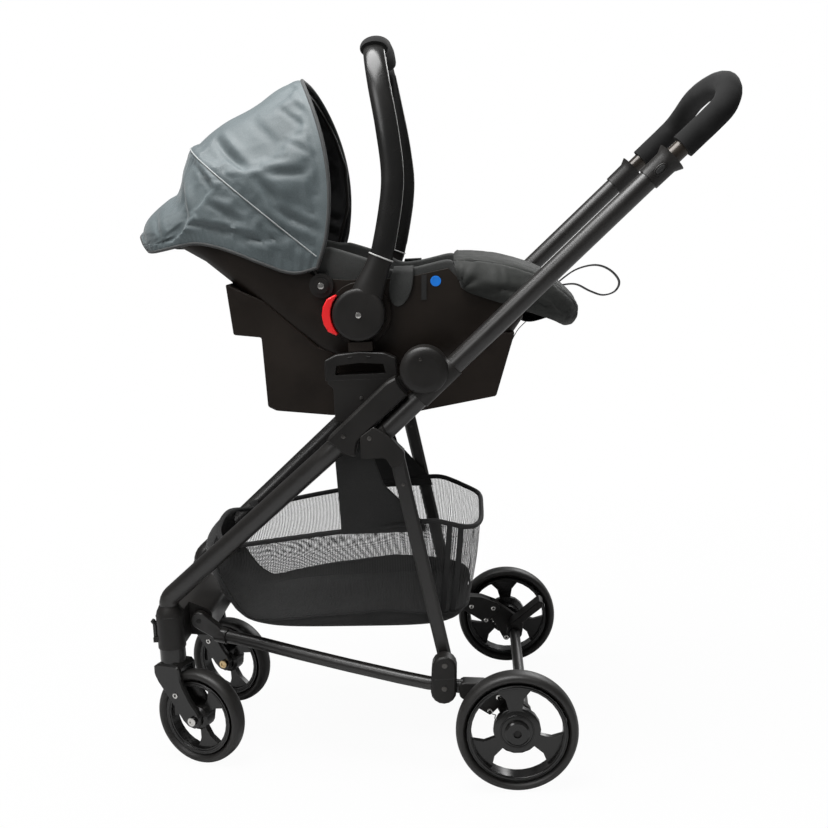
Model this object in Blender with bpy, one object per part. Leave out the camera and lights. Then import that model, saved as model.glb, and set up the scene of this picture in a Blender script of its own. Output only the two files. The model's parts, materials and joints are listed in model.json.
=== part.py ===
"""Folding stroller chassis with a rear-facing infant seat on side adapters.

Metres. +Z is up, +X the stroller's left, -Y its front (casters), +Y its rear (push handle).
Everything is drawn in side-view coordinates (y, z) with y = 0 on the caster axes and z = 0 on
the floor, then hung from one root that centres the whole on the floor.
"""

import math

import bmesh
import bpy
from mathutils import Matrix, Vector

# Clearances
GAP = 0.0003            # between pieces that touch or turn on each other
LANE = 0.0010           # side clearance between folding members

# Rear wheels
REAR_WHEEL_R = 0.095
REAR_TYRE_WIDTH = 0.035
REAR_TYRE_DEPTH = 0.0170
REAR_RIM_DEPTH = 0.0067
REAR_TRACK_HALF = 0.270
REAR_AXLE_Y = 0.567
REAR_AXLE_R = 0.0060

# Front wheels and casters
FRONT_WHEEL_R = 0.080
FRONT_TYRE_WIDTH = 0.030
FRONT_TYRE_DEPTH = 0.0170
FRONT_RIM_DEPTH = 0.0085
FRONT_AXLE_R = 0.0040
SWIVEL_X = 0.127
TRAIL = 0.048
CASTER_TURN = -0.39     # both casters stand turned alike
FORK_HALF = 0.0245
CROWN_Z = 0.172
HOUSING_R = 0.0230
HOUSING_Z = 0.196
HOUSING_TOP = 0.268
KINGPIN_R = 0.0060

# Tubes
LEG_TUBE_R = 0.0160
PUSH_TUBE_R = 0.0155
INNER_TUBE_R = 0.0135
RAIL_R = 0.0110
BRAKE_BAR_R = 0.0095
GRIP_R = 0.0193
TUBE_X = 0.2125         # middle plane of leg top, push tube and rail end

# Fold
HUB_Y = 0.448
HUB_Z = 0.656
HUB_R = 0.037
HUB_PIN_R = 0.0060
TUBE_TILT = math.radians(41.4)
LEG_OFFSET = 0.008      # leg axis above the hub axis
LEVER_OFFSET = -0.027   # push tube axis below the hub axis
LEVER_LENGTH = 0.148
COLLAR_S = 0.4586       # middle of the telescope collar, along the push tube
COLLAR_LENGTH = 0.047
LEVER_PIN_Y = 0.396
LEVER_PIN_Z = 0.524
LEVER_PIN_R = 0.0050
REAR_LEG_FOOT_Y = 0.4575
REAR_LEG_FOOT_Z = 0.186
REAR_LEG_X = 0.187
REAR_LEG_HALF = 0.0080
REAR_LEG_R = 0.0110
RAIL_PIN_Y = 0.040
RAIL_PIN_Z = 0.228
RAIL_PIN_R = 0.0040

# Rear suspension and brake
ARM_PIN_Y = 0.541
ARM_PIN_Z = 0.131
ARM_PIN_R = 0.0035
ARM_HALF = 0.0085
BAR_Y = 0.579
BAR_Z = 0.100
SPRING_TOP_Y = 0.526
SPRING_TOP_Z = 0.108
SPRING_END_Y = 0.564
SPRING_END_Z = 0.070
SPRING_X = 0.2308
SPRING_PIN_R = 0.0030
WIRE_R = 0.0008

# Infant seat
SHELL_WALL = 0.0050
PAD_THICKNESS = 0.0140
ADAPTER_INNER = 0.1665
ADAPTER_OUTER = 0.1892
ADAPTER_TOP = 0.684
CARRY_Y = 0.350
CARRY_Z = 0.741
CARRY_HUB_R = 0.041
CARRY_PIN_R = 0.0080
CARRY_TOP = 1.159
CANOPY_Y = 0.292
CANOPY_Z = 0.791
CANOPY_PIN_R = 0.0040
CANOPY_CLOTH = 0.0030

COS_T = math.cos(TUBE_TILT)
SIN_T = math.sin(TUBE_TILT)
CASING_INNER = ADAPTER_OUTER + GAP
CASING_OUTER = 0.2305

for old in list(bpy.data.objects):
    bpy.data.objects.remove(old, do_unlink=True)

root = bpy.data.objects.new("stroller", None)
bpy.context.scene.collection.objects.link(root)
pieces = []


def look(name, colour, roughness, metallic=0.0):
    """A plain Principled material."""
    material = bpy.data.materials.new(name)
    material.use_nodes = True
    shader = material.node_tree.nodes["Principled BSDF"]
    shader.inputs["Base Color"].default_value = (*colour, 1.0)
    shader.inputs["Roughness"].default_value = roughness
    shader.inputs["Metallic"].default_value = metallic
    return material


def solid(name, points, faces):
    """A mesh object from points and faces, its faces turned outwards."""
    mesh = bpy.data.meshes.new(name)
    mesh.from_pydata([tuple(p) for p in points], [], faces)
    work = bmesh.new()
    work.from_mesh(mesh)
    bmesh.ops.remove_doubles(work, verts=work.verts, dist=0.00001)
    bmesh.ops.recalc_face_normals(work, faces=work.faces)
    work.to_mesh(mesh)
    work.free()
    made = bpy.data.objects.new(name, mesh)
    bpy.context.scene.collection.objects.link(made)
    return made


def loft(name, rings, ring_of_rings=False, split=False):
    """Skin through rings of equal length, capped, or closed on itself like a tyre."""
    count = len(rings[0])
    points = [p for ring in rings for p in ring]
    faces = []
    last = len(rings) if ring_of_rings else len(rings) - 1
    for i in range(last):
        a = i * count
        b = ((i + 1) % len(rings)) * count
        for j in range(count):
            k = (j + 1) % count
            if split:
                faces += [(a + j, a + k, b + k), (a + j, b + k, b + j)]
            else:
                faces.append((a + j, a + k, b + k, b + j))
    if not ring_of_rings:
        faces.append(tuple(range(count)))
        faces.append(tuple((len(rings) - 1) * count + j for j in range(count)))
    return solid(name, points, faces)


def boolean(target, tool, operation):
    """One exact Boolean, applied, and its tool removed."""
    modifier = target.modifiers.new("boolean", "BOOLEAN")
    modifier.operation = operation
    modifier.solver = "EXACT"
    modifier.object = tool
    bpy.context.view_layer.update()
    shaped = target.evaluated_get(bpy.context.evaluated_depsgraph_get())
    mesh = bpy.data.meshes.new_from_object(shaped)
    target.modifiers.clear()
    target.data = mesh
    bpy.data.objects.remove(tool, do_unlink=True)
    return target


def cut(target, *tools):
    for tool in tools:
        boolean(target, tool, "DIFFERENCE")
    return target


def join(target, *tools):
    for tool in tools:
        boolean(target, tool, "UNION")
    return target


def plate(name, outline, low, high, bevel=0.0, axis="X"):
    """A side outline (y, z) run across the stroller from low to high; axis Y runs (x, z) along it."""
    if axis == "X":
        rings = [[(x, p[0], p[1]) for p in outline] for x in (low, high)]
    elif axis == "Y":
        rings = [[(p[0], y, p[1]) for p in outline] for y in (low, high)]
    else:
        rings = [[(p[0], p[1], z) for p in outline] for z in (low, high)]
    made = loft(name, rings)
    if bevel:
        work = bmesh.new()
        work.from_mesh(made.data)
        caps = [f for f in work.faces if len(f.verts) == len(outline)]
        edges = {e for f in caps for e in f.edges}
        bmesh.ops.bevel(work, geom=list(edges), offset=bevel, segments=1, affect="EDGES")
        bmesh.ops.recalc_face_normals(work, faces=work.faces)
        work.to_mesh(made.data)
        work.free()
    return made


def box(name, x, y, z):
    return plate(name, [(y[0], z[0]), (y[1], z[0]), (y[1], z[1]), (y[0], z[1])], x[0], x[1])


def turned(name, profile, centre, axis="X", sides=32, ring=False, flat=False):
    """A profile of (radius, distance) turned about an axis; ring closes the profile on itself.

    flat draws the rings round the outside of the circle, with a flat facet below.
    """
    grow = 1.0 / math.cos(math.pi / sides) if flat else 1.0
    start = math.pi / sides - math.pi / 2 if flat else 0.0
    centre = Vector(centre)
    rings = []
    for j in range(sides):
        angle = start + 2 * math.pi * j / sides
        c = math.cos(angle)
        s = math.sin(angle)
        line = []
        for r, h in profile:
            r = r * grow
            if axis == "X":
                line.append(centre + Vector((h, r * c, r * s)))
            elif axis == "Z":
                line.append(centre + Vector((r * c, r * s, h)))
            else:
                u = Vector((0.0, COS_T, SIN_T))
                v = Vector((0.0, -SIN_T, COS_T))
                line.append(centre + u * h + Vector((r * c, 0, 0)) + v * (r * s))
        rings.append(line)
    if ring:
        return loft(name, rings, ring_of_rings=True)
    count = len(profile)
    points = [p for line in rings for p in line]
    faces = []
    for j in range(sides):
        k = (j + 1) % sides
        for i in range(count - 1):
            faces.append((j * count + i, k * count + i, k * count + i + 1, j * count + i + 1))
    faces.append(tuple(j * count for j in range(sides)))
    faces.append(tuple(j * count + count - 1 for j in range(sides)))
    return solid(name, points, faces)


def pin(name, x0, x1, y, z, radius, sides=16):
    return turned(name, [(radius, x0), (radius, x1)], (0, y, z), "X", sides)


def rounded(points, radius, steps=3):
    """The outline with its corners rounded."""
    out = []
    count = len(points)
    for i, point in enumerate(points):
        before = Vector(points[i - 1]) - Vector(point)
        after = Vector(points[(i + 1) % count]) - Vector(point)
        reach = min(radius, 0.45 * before.length, 0.45 * after.length)
        a = Vector(point) + before.normalized() * reach
        b = Vector(point) + after.normalized() * reach
        for k in range(steps + 1):
            t = k / steps
            p = a * (1 - t) ** 2 + Vector(point) * 2 * t * (1 - t) + b * t * t
            out.append((p.x, p.y))
    return out


def hull_of_discs(discs, steps=14):
    """The convex outline round discs (y, z, radius)."""
    points = []
    for y, z, r in discs:
        for k in range(steps):
            a = 2 * math.pi * k / steps
            points.append((y + r * math.cos(a), z + r * math.sin(a)))
    points = sorted(set((round(p[0], 7), round(p[1], 7)) for p in points))

    def half(order):
        line = []
        for p in order:
            while len(line) > 1:
                u = (line[-1][0] - line[-2][0], line[-1][1] - line[-2][1])
                v = (p[0] - line[-2][0], p[1] - line[-2][1])
                if u[0] * v[1] - u[1] * v[0] > 1e-10:
                    break
                line.pop()
            line.append(p)
        return line[:-1]

    return half(points) + half(points[::-1])


def bent(points, radii, steps=4):
    """A polyline with each inner corner bent to a radius."""
    points = [Vector(p) for p in points]
    out = [points[0]]
    for i in range(1, len(points) - 1):
        into = (points[i] - points[i - 1]).normalized()
        away = (points[i + 1] - points[i]).normalized()
        half = into.angle(away) / 2
        reach = radii[i - 1] * math.tan(half)
        a = points[i] - into * reach
        b = points[i] + away * reach
        centre = points[i] + (away - into).normalized() * radii[i - 1] / math.cos(half)
        for k in range(steps + 1):
            t = k / steps
            arm = (a - centre).lerp(b - centre, t).normalized() * radii[i - 1]
            if k in (0, steps):
                arm = (a if k == 0 else b) - centre
            out.append(centre + arm)
    out.append(points[-1])
    return out


def smooth(points, steps=4):
    """A Catmull-Rom curve through the points."""
    points = [Vector(p) for p in points]
    ends = [points[0] * 2 - points[1]] + points + [points[-1] * 2 - points[-2]]
    out = []
    for i in range(1, len(ends) - 2):
        a, b, c, d = ends[i - 1:i + 3]
        for k in range(steps):
            t = k / steps
            out.append(0.5 * (b * 2 + (c - a) * t + (a * 2 - b * 5 + c * 4 - d) * t * t
                              + (b * 3 - a - c * 3 + d) * t ** 3))
    out.append(points[-1])
    return out


def sections(path, section, reference, carried=True):
    """The section's points (along the side vector, along the other) set square to the path."""
    rings = []
    side = Vector(reference)
    for i, point in enumerate(path):
        ahead = path[min(i + 1, len(path) - 1)] - path[max(i - 1, 0)]
        along = ahead.normalized()
        start = side if carried else Vector(reference)
        side = (start - along * start.dot(along)).normalized()
        other = along.cross(side)
        rings.append([point + side * u + other * v for u, v in section])
    return rings


def circle(radius, sides, squash=1.0):
    out = []
    for k in range(sides):
        a = 2 * math.pi * (k + 0.5) / sides
        out.append((radius * math.cos(a), radius * squash * math.sin(a)))
    return out


def tube(name, path, radius, sides=16, reference=(1, 0, 0), squash=1.0, bore=0.0, carried=True):
    """A round or oval tube along a path; a bore makes it open at both ends."""
    path = [Vector(p) for p in path]
    outer = sections(path, circle(radius, sides, squash), reference, carried)
    if not bore:
        return loft(name, outer)
    inner = sections(path, circle(bore, sides, squash), reference, carried)
    return loft(name, outer + inner[::-1], ring_of_rings=True)


def band(name, path, width, thickness, reference=(1, 0, 0)):
    """A flat strap along a path."""
    w = width / 2
    t = thickness / 2
    section = [(-w, -t), (w, -t), (w, t), (-w, t)]
    return loft(name, sections([Vector(p) for p in path], section, reference, False))


def mirrored(made):
    for v in made.data.vertices:
        v.co.x = -v.co.x
    made.data.flip_normals()
    return made


def place(made, name, material, origin=(0, 0, 0), turn=0.0, smooth_shade=True):
    """Name the piece, give it its material and put its origin where it turns or slides."""
    made.name = name
    made.data.name = name
    made.data.materials.clear()
    made.data.materials.append(material)
    made.data.transform(Matrix.Translation(-Vector(origin)))
    if smooth_shade:
        made.data.set_sharp_from_angle(angle=math.radians(35))
    made.location = Vector(origin)
    made.rotation_euler = (0, 0, turn)
    made.parent = root
    pieces.append(made)
    return made


def on_tube(s, d):
    """Side-view point at s along the tube direction from the hub axis and d above it."""
    return (HUB_Y + s * COS_T - d * SIN_T, HUB_Z + s * SIN_T + d * COS_T)


def at(x, point):
    return Vector((x, point[0], point[1]))


# Front leg: round tube from the caster housing, bent back and outwards, then straight in its casing.
LEG_FOOT_Z = HOUSING_TOP - 0.028
leg_bend = on_tube(-0.205, LEG_OFFSET)
leg_path = bent(
    [(SWIVEL_X, 0, LEG_FOOT_Z), (SWIVEL_X, 0, HOUSING_TOP + 0.011), at(TUBE_X, leg_bend),
     at(TUBE_X, on_tube(-0.0965, LEG_OFFSET))],
    [LEG_TUBE_R + 0.008, 0.14])


def front_leg():
    return tube("leg", leg_path, LEG_TUBE_R, 16)


# Leg casing: moulded housing over the leg top, its end hollowed round the hub, with a cheek and pin.
def leg_casing():
    low = LEG_OFFSET - LEG_TUBE_R - 0.0010
    high = LEG_OFFSET + LEG_TUBE_R + 0.0025
    outline = [on_tube(-0.054, high), on_tube(-0.030, high - 0.0065), on_tube(-0.030, low),
               on_tube(-0.140, low), (0.3405, 0.549), (0.337, 0.525), (0.318, 0.533), on_tube(-0.184, high)]
    body = plate("casing", rounded(outline, 0.005, 2), CASING_INNER, CASING_OUTER, 0.0030)
    clear = pin("clear", 0.180, 0.240, HUB_Y, HUB_Z, HUB_R + 0.009, 32)
    bore = tube("bore", [at(TUBE_X, on_tube(s, LEG_OFFSET)) for s in (-0.25, -0.0960)],
                LEG_TUBE_R + GAP, 16)
    mouth = tube("mouth", leg_path[6:-1], LEG_TUBE_R + GAP * 2, 16)
    cut(body, clear, bore, mouth)
    cheek = plate("cheek", hull_of_discs([(HUB_Y, HUB_Z, 0.0155),
                                          (*on_tube(-0.070, LEG_OFFSET), 0.0120)], 16),
                  CASING_INNER + 0.0002, TUBE_X - PUSH_TUBE_R - 0.0007)
    stub = pin("stub", CASING_INNER + 0.0004, TUBE_X + 0.0120, HUB_Y, HUB_Z, HUB_PIN_R, 12)
    return join(body, cheek, stub)


# Seat adapter: grip block screwed inside the casing, with a slotted arched head.
def seat_adapter():
    head = [(0.292, 0.640), (0.404, 0.640), (0.404, 0.672), (0.385, 0.681), (0.348, ADAPTER_TOP),
            (0.311, 0.681), (0.292, 0.672)]
    body = plate("head", rounded(head, 0.003, 2), ADAPTER_INNER, ADAPTER_OUTER, 0.0015)
    slot = plate("slot", [(0.308, 0.649), (0.387, 0.649), (0.384, 0.664), (0.347, 0.667),
                          (0.311, 0.664)], ADAPTER_INNER - 0.01, ADAPTER_OUTER + 0.01)
    cut(body, slot)
    stem = [(0.304, 0.575), (0.392, 0.575), (0.396, 0.642), (0.296, 0.642), (0.296, 0.636),
            (0.304, 0.628)]
    return join(body, plate("stem", stem, ADAPTER_INNER + 0.0015, ADAPTER_OUTER, 0.0010))


# Front cross member: moulded beam between the housings, with pins for the lower rails.
def cross_member():
    outline = rounded([(-0.014, 0.202), (0.058, 0.196), (0.060, 0.240), (0.020, 0.258), (-0.014, 0.254)],
                      0.008, 3)
    body = plate("beam", outline, -0.1180, 0.1180, 0.0025)
    for s in (1, -1):
        housing = turned("housing", [(HOUSING_R + GAP, 0.18), (HOUSING_R + GAP, 0.28)],
                         (s * SWIVEL_X, 0, 0), "Z", 24)
        x = sorted((s * 0.0800, s * 0.130))
        room = box("room", x, (0.0215, 0.08), (0.18, 0.28))
        x = sorted((s * 0.0780, s * 0.0975))
        join(cut(body, housing, room), pin("rail_pin", x[0], x[1], RAIL_PIN_Y, RAIL_PIN_Z, RAIL_PIN_R, 12))
    return body


# Caster housing with the two ears of the swivel lock on its front.
def caster_housing():
    profile = [(HOUSING_R, HOUSING_Z), (HOUSING_R, 0.252),
               (HOUSING_R - 0.002, 0.2600), (HOUSING_R - 0.0050, 0.2655), (HOUSING_R - 0.0060, HOUSING_TOP)]
    body = turned("housing", profile, (SWIVEL_X, 0, 0), "Z", 24)
    for s in (1, -1):
        x = sorted((SWIVEL_X + s * 0.0066, SWIVEL_X + s * 0.0092))
        join(body, box("ear", x, (-0.0288, -0.016), (0.2065, 0.2150)))
    join(body, pin("lock_pin", SWIVEL_X - 0.0080, SWIVEL_X + 0.0080, -0.0262, 0.2105, 0.0012, 10))
    bore = turned("bore", [(KINGPIN_R + GAP, 0.18), (KINGPIN_R + GAP, 0.2320)], (SWIVEL_X, 0, 0), "Z", 12)
    socket = tube("socket", [(SWIVEL_X, 0, LEG_FOOT_Z - GAP), (SWIVEL_X, 0, 0.30)], LEG_TUBE_R + GAP, 16)
    return cut(body, bore, socket)


# Swivel lock lever, hinged low on the housing.
def swivel_lock():
    outline = [(-0.0262, 0.2081), (-0.0242, 0.2090), (-0.0238, 0.2105), (-0.0238, 0.2350),
               (-0.0275, 0.2420), (-0.0310, 0.2435), (-0.0318, 0.2415), (-0.0285, 0.2370),
               (-0.0286, 0.2105), (-0.0280, 0.2088)]
    lever = plate("lever", outline, SWIVEL_X - 0.0062, SWIVEL_X + 0.0062)
    return cut(lever, pin("hole", SWIVEL_X - 0.01, SWIVEL_X + 0.01, -0.0262, 0.2105, 0.0015, 10))


# Caster fork, drawn with its trail along +Y about the swivel axis: ring, crown, two arms, axle.
def front_fork():
    axle = (TRAIL, FRONT_WHEEL_R)
    outline = [(-0.022, CROWN_Z), (-0.0265, 0.160), (-0.0215, 0.144), (0.012, 0.099), (0.030, 0.072),
               (axle[0] - 0.006, axle[1] - 0.0145), (axle[0] + 0.006, axle[1] - 0.0145),
               (axle[0] + 0.015, axle[1] - 0.002), (axle[0] + 0.012, axle[1] + 0.013),
               (0.046, 0.109), (0.030, 0.140), (0.026, 0.160), (0.026, CROWN_Z)]
    body = plate("fork", rounded(outline, 0.006, 1), -FORK_HALF, FORK_HALF, 0.0025)
    inside = FRONT_TYRE_WIDTH / 2 + 0.0015
    cut(body, box("slot", (-inside, inside), (-0.1, 0.2), (0, FRONT_WHEEL_R * 2 + 0.005)))
    ring = turned("ring", [(0.0212, CROWN_Z - 0.004), (0.0212, HOUSING_Z - GAP)], (0, 0, 0), "Z", 20)
    kingpin = turned("kingpin", [(KINGPIN_R, 0.185), (KINGPIN_R, 0.2300)], (0, 0, 0), "Z", 12)
    axle_pin = pin("axle", -FORK_HALF - 0.001, FORK_HALF + 0.001, *axle, FRONT_AXLE_R, 12)
    heads = [pin("head", s * FORK_HALF - 0.0012, s * FORK_HALF + 0.0012 + s * 0.0018, *axle, 0.0062, 12)
             for s in (1, -1)]
    return join(body, ring, kingpin, axle_pin, *heads)


# Wheels: tyre, and a rim with three broad petal spokes and a hub.
def tyre(radius, depth, width):
    h = width / 2
    r = radius
    profile = [(r - depth, -h * 0.64), (r - depth * 0.50, -h), (r, -h * 0.34), (r, h * 0.34),
               (r - depth * 0.50, h), (r - depth, h * 0.64)]
    return turned("tyre", profile, (0, 0, 0), "X", 32, ring=True, flat=True)


def rim(seat, opening, half, hub, petal_half, turn, bore):
    ring = [(opening, -half * 0.85), (seat, -half), (seat, half), (opening, half * 0.85)]
    body = turned("rim", ring, (0, 0, 0), "X", 32, ring=True, flat=True)
    join(body, turned("hub", hub, (0, 0, 0), "X", 18))
    for k in range(3):
        middle = turn + math.radians(120 * k)
        out = []
        for r, a in ((hub_radius(hub) - 0.004, 0.30), (0.5 * (opening + hub_radius(hub)), 0.27),
                     (opening + 0.002, 0.40)):
            out.append((r * math.cos(middle - a), r * math.sin(middle - a)))
        out.append(((opening + 0.0022) * math.cos(middle), (opening + 0.0022) * math.sin(middle)))
        for r, a in ((opening + 0.002, 0.40), (0.5 * (opening + hub_radius(hub)), 0.27),
                     (hub_radius(hub) - 0.004, 0.30)):
            out.append((r * math.cos(middle + a), r * math.sin(middle + a)))
        join(body, plate("petal", out, petal_half[0], petal_half[1]))
    return cut(body, pin("bore", -0.1, 0.1, 0, 0, bore, 14))


def hub_radius(hub):
    return max(r for r, h in hub[1:-1])


# Fold hub: knuckle clamped over the push tube, turning on the pin of the casing.
def fold_hub():
    inner = TUBE_X - PUSH_TUBE_R + 0.0015
    wall = TUBE_X + PUSH_TUBE_R
    profile = [(HUB_R - 0.001, inner), (HUB_R, inner + 0.001), (HUB_R, wall + 0.0010),
               (HUB_R - 0.0015, wall + 0.0050), (HUB_R - 0.0065, wall + 0.0085), (HUB_R - 0.0150, wall + 0.0100)]
    body = turned("hub", profile, (0, HUB_Y, HUB_Z), "X", 28)
    groove = turned("groove", [(PUSH_TUBE_R + GAP, -0.1), (PUSH_TUBE_R + GAP, 0.1)],
                    at(TUBE_X, on_tube(0, LEVER_OFFSET)), "T", 16)
    below = [on_tube(-0.1, LEVER_OFFSET), on_tube(0.1, LEVER_OFFSET), on_tube(0.1, LEVER_OFFSET - 0.05),
             on_tube(-0.1, LEVER_OFFSET - 0.05)]
    under = plate("under", below, inner - 0.01, wall + GAP)
    bore = pin("bore", inner - 0.01, TUBE_X + 0.0125, HUB_Y, HUB_Z, HUB_PIN_R + GAP, 12)
    return cut(body, groove, under, bore)


# Push tube: runs through the hub, its lower end the lever of the fold, its upper end a slide.
TUBE_END = COLLAR_S + COLLAR_LENGTH / 2 - 0.0120


def push_tube():
    centre = at(TUBE_X, on_tube(0, LEVER_OFFSET))
    body = turned("tube", [(PUSH_TUBE_R, -LEVER_LENGTH), (PUSH_TUBE_R, TUBE_END)], centre, "T", 16)
    bore = turned("bore", [(INNER_TUBE_R + GAP, 0.22), (INNER_TUBE_R + GAP, TUBE_END + 0.01)], centre, "T", 16)
    return cut(body, bore)


# Lever bracket: clamps the lever's end and carries the pin of the rear leg.
def lever_bracket():
    outer = TUBE_X + PUSH_TUBE_R + 0.0065
    cover = rounded([(0.367, 0.5735), (0.3455, 0.558), (0.3455, 0.525), (0.383, 0.524), (0.392, 0.5085),
                     (0.404, 0.510), (0.412, 0.519), (0.412, 0.533), (0.390, 0.558)], 0.003, 2)
    body = plate("cover", cover, CASING_OUTER + 0.0005, outer, 0.0010)
    block = [on_tube(-0.105, -0.0165), on_tube(-0.143, -0.0165), (0.3470, 0.526), (0.383, 0.525),
             (0.393, 0.5100), (0.404, 0.511), (0.411, 0.520), (0.411, 0.532), (0.388, 0.556)]
    join(body, plate("block", block, 0.2030, CASING_OUTER + 0.001, 0.0006))
    cut(body, turned("bore", [(PUSH_TUBE_R + GAP, -LEVER_LENGTH - 0.02), (PUSH_TUBE_R + GAP, 0)],
                     at(TUBE_X, on_tube(0, LEVER_OFFSET)), "T", 16))
    leg_side = REAR_LEG_X + REAR_LEG_HALF
    boss = pin("boss", leg_side + GAP * 2, 0.2040, LEVER_PIN_Y, LEVER_PIN_Z, LEVER_PIN_R + 0.0045, 14)
    stub = pin("stub", REAR_LEG_X - REAR_LEG_HALF + 0.0005, 0.2040, LEVER_PIN_Y, LEVER_PIN_Z, LEVER_PIN_R, 12)
    return join(body, boss, stub)


# Telescope collar: stepped bore, flared mouth towards the handle, a pad with the button's pocket.
def telescope_collar():
    centre = at(TUBE_X, on_tube(COLLAR_S, LEVER_OFFSET))
    h = COLLAR_LENGTH / 2
    step = TUBE_END - COLLAR_S
    profile = [(PUSH_TUBE_R + GAP, -h), (PUSH_TUBE_R + 0.0026, -h),
               (PUSH_TUBE_R + 0.0030, h - 0.0120), (PUSH_TUBE_R + 0.0088, h), (INNER_TUBE_R + GAP, h),
               (INNER_TUBE_R + GAP, step + GAP), (PUSH_TUBE_R + GAP, step + GAP)]
    body = turned("collar", profile, centre, "T", 16, ring=True)
    x = TUBE_X + PUSH_TUBE_R
    pad = plate("pad", oval(COLLAR_S - 0.0035, 0.0115, 0.0065), x + 0.0010, x + 0.0052, 0.0008)
    pocket = plate("pocket", oval(COLLAR_S - 0.0035, 0.0085 + GAP, 0.0040 + GAP), x + 0.0012, x + 0.02)
    return cut(join(body, pad), pocket)


def oval(s, along, across, sides=14):
    out = []
    for k in range(sides):
        a = 2 * math.pi * k / sides
        out.append(on_tube(s + along * math.cos(a), LEVER_OFFSET + across * math.sin(a)))
    return out


def telescope_button():
    x = TUBE_X + PUSH_TUBE_R
    return plate("button", oval(COLLAR_S - 0.0035, 0.0085, 0.0040), x + 0.0026, x + 0.0064, 0.0006)


# Handle loop: inner tubes that slide in the push tubes, joined by a bow that tilts up and inwards.
def handle_curve(first_s):
    start = at(TUBE_X, on_tube(first_s, LEVER_OFFSET))
    knee = at(TUBE_X, on_tube(0.565, LEVER_OFFSET))
    half = smooth([knee, (0.2085, 0.9030, 1.0225), (0.190, 0.9150, 1.0400), (0.155, 0.9225, 1.0560),
                   (0.100, 0.9270, 1.0660), (0.0, 0.9280, 1.0700)], 1)
    left = [start] + half
    return left + [Vector((-p.x, p.y, p.z)) for p in left[-2::-1]]


def handle_loop():
    return tube("loop", handle_curve(0.32), INNER_TUBE_R, 12)


def handle_grip():
    return tube("grip", handle_curve(0.503), GRIP_R, 12, bore=INNER_TUBE_R + GAP)


# Rear leg: flat oval tube from the lever down to the rail bracket.
def rear_leg():
    outline = hull_of_discs([(LEVER_PIN_Y, LEVER_PIN_Z, REAR_LEG_R + 0.001),
                             (REAR_LEG_FOOT_Y, REAR_LEG_FOOT_Z, REAR_LEG_R)], 16)
    low = REAR_LEG_X - REAR_LEG_HALF
    high = REAR_LEG_X + REAR_LEG_HALF
    body = plate("leg", outline, low, high, 0.0040)
    return cut(body, pin("eye", low - 0.01, high + 0.01, LEVER_PIN_Y, LEVER_PIN_Z, LEVER_PIN_R + GAP, 12))


# Side rail: sagging tube with a moulded knuckle on the cross member's pin.
rail_path = smooth([(0.0900, 0.079, 0.1985), (0.1180, 0.147, 0.1925), (0.1450, 0.216, 0.1830),
                    (0.1740, 0.300, 0.1710), (0.2000, 0.384, 0.1590), (TUBE_X - 0.0005, 0.430, 0.1525),
                    (TUBE_X, 0.4560, 0.1490), (TUBE_X, 0.5130, 0.1405)], 1)


def side_rail():
    body = tube("rail", rail_path, RAIL_R, 12)
    eye = plate("eye", hull_of_discs([(RAIL_PIN_Y, RAIL_PIN_Z, 0.0140), (0.066, 0.2080, 0.0115)], 16),
                0.0806, 0.0975, 0.0015)
    run = (rail_path[1] - rail_path[0]).normalized()
    ring = tube("ring", [rail_path[0] - run * 0.012, rail_path[0] + run * 0.010], RAIL_R + 0.0022, 12)
    join(body, eye, ring)
    return cut(body, pin("hole", 0.07, 0.11, RAIL_PIN_Y, RAIL_PIN_Z, RAIL_PIN_R + GAP, 12))


# Rail bracket: oval moulding clamped on the rail where the rear leg meets it.
def rail_bracket():
    low = REAR_LEG_X + REAR_LEG_HALF + LANE * 2
    body = plate("bracket", hull_of_discs([(0.4570, 0.1800, 0.0200), (0.4545, 0.1420, 0.0205)], 16),
                 low, TUBE_X + RAIL_R + 0.0045, 0.0030)
    return cut(body, tube("bore", rail_path, RAIL_R + GAP, 12))


# Suspension bracket: sleeve on the rail's end, forked round the swing arm, with the spring's pin.
def suspension_bracket():
    low = TUBE_X - ARM_HALF - 0.0050
    high = TUBE_X + ARM_HALF + 0.0050
    outline = hull_of_discs([(0.4880, 0.1470, 0.0090), (0.4880, 0.1370, 0.0090), (0.5160, 0.1440, 0.0100),
                             (ARM_PIN_Y, ARM_PIN_Z, 0.0125), (SPRING_TOP_Y, SPRING_TOP_Z, 0.0060)], 14)
    body = plate("sleeve", outline, low, high, 0.0015)
    room = hull_of_discs([(ARM_PIN_Y, ARM_PIN_Z, 0.0140), (0.60, 0.20, 0.0140), (0.60, 0.05, 0.0140),
                          (ARM_PIN_Y + 0.004, 0.100, 0.0140)], 16)
    cut(body, plate("room", room, TUBE_X - ARM_HALF - GAP, TUBE_X + ARM_HALF + GAP),
        tube("bore", rail_path[-3:] + [rail_path[-1] + (rail_path[-1] - rail_path[-2]) * 0.02],
             RAIL_R + GAP, 12))
    join(body, pin("arm_pin", low + 0.001, high + 0.0012, ARM_PIN_Y, ARM_PIN_Z, ARM_PIN_R, 10))
    return join(body, pin("spring_pin", high - 0.001, SPRING_X + 0.0025, SPRING_TOP_Y, SPRING_TOP_Z,
                          SPRING_PIN_R, 10))


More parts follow.
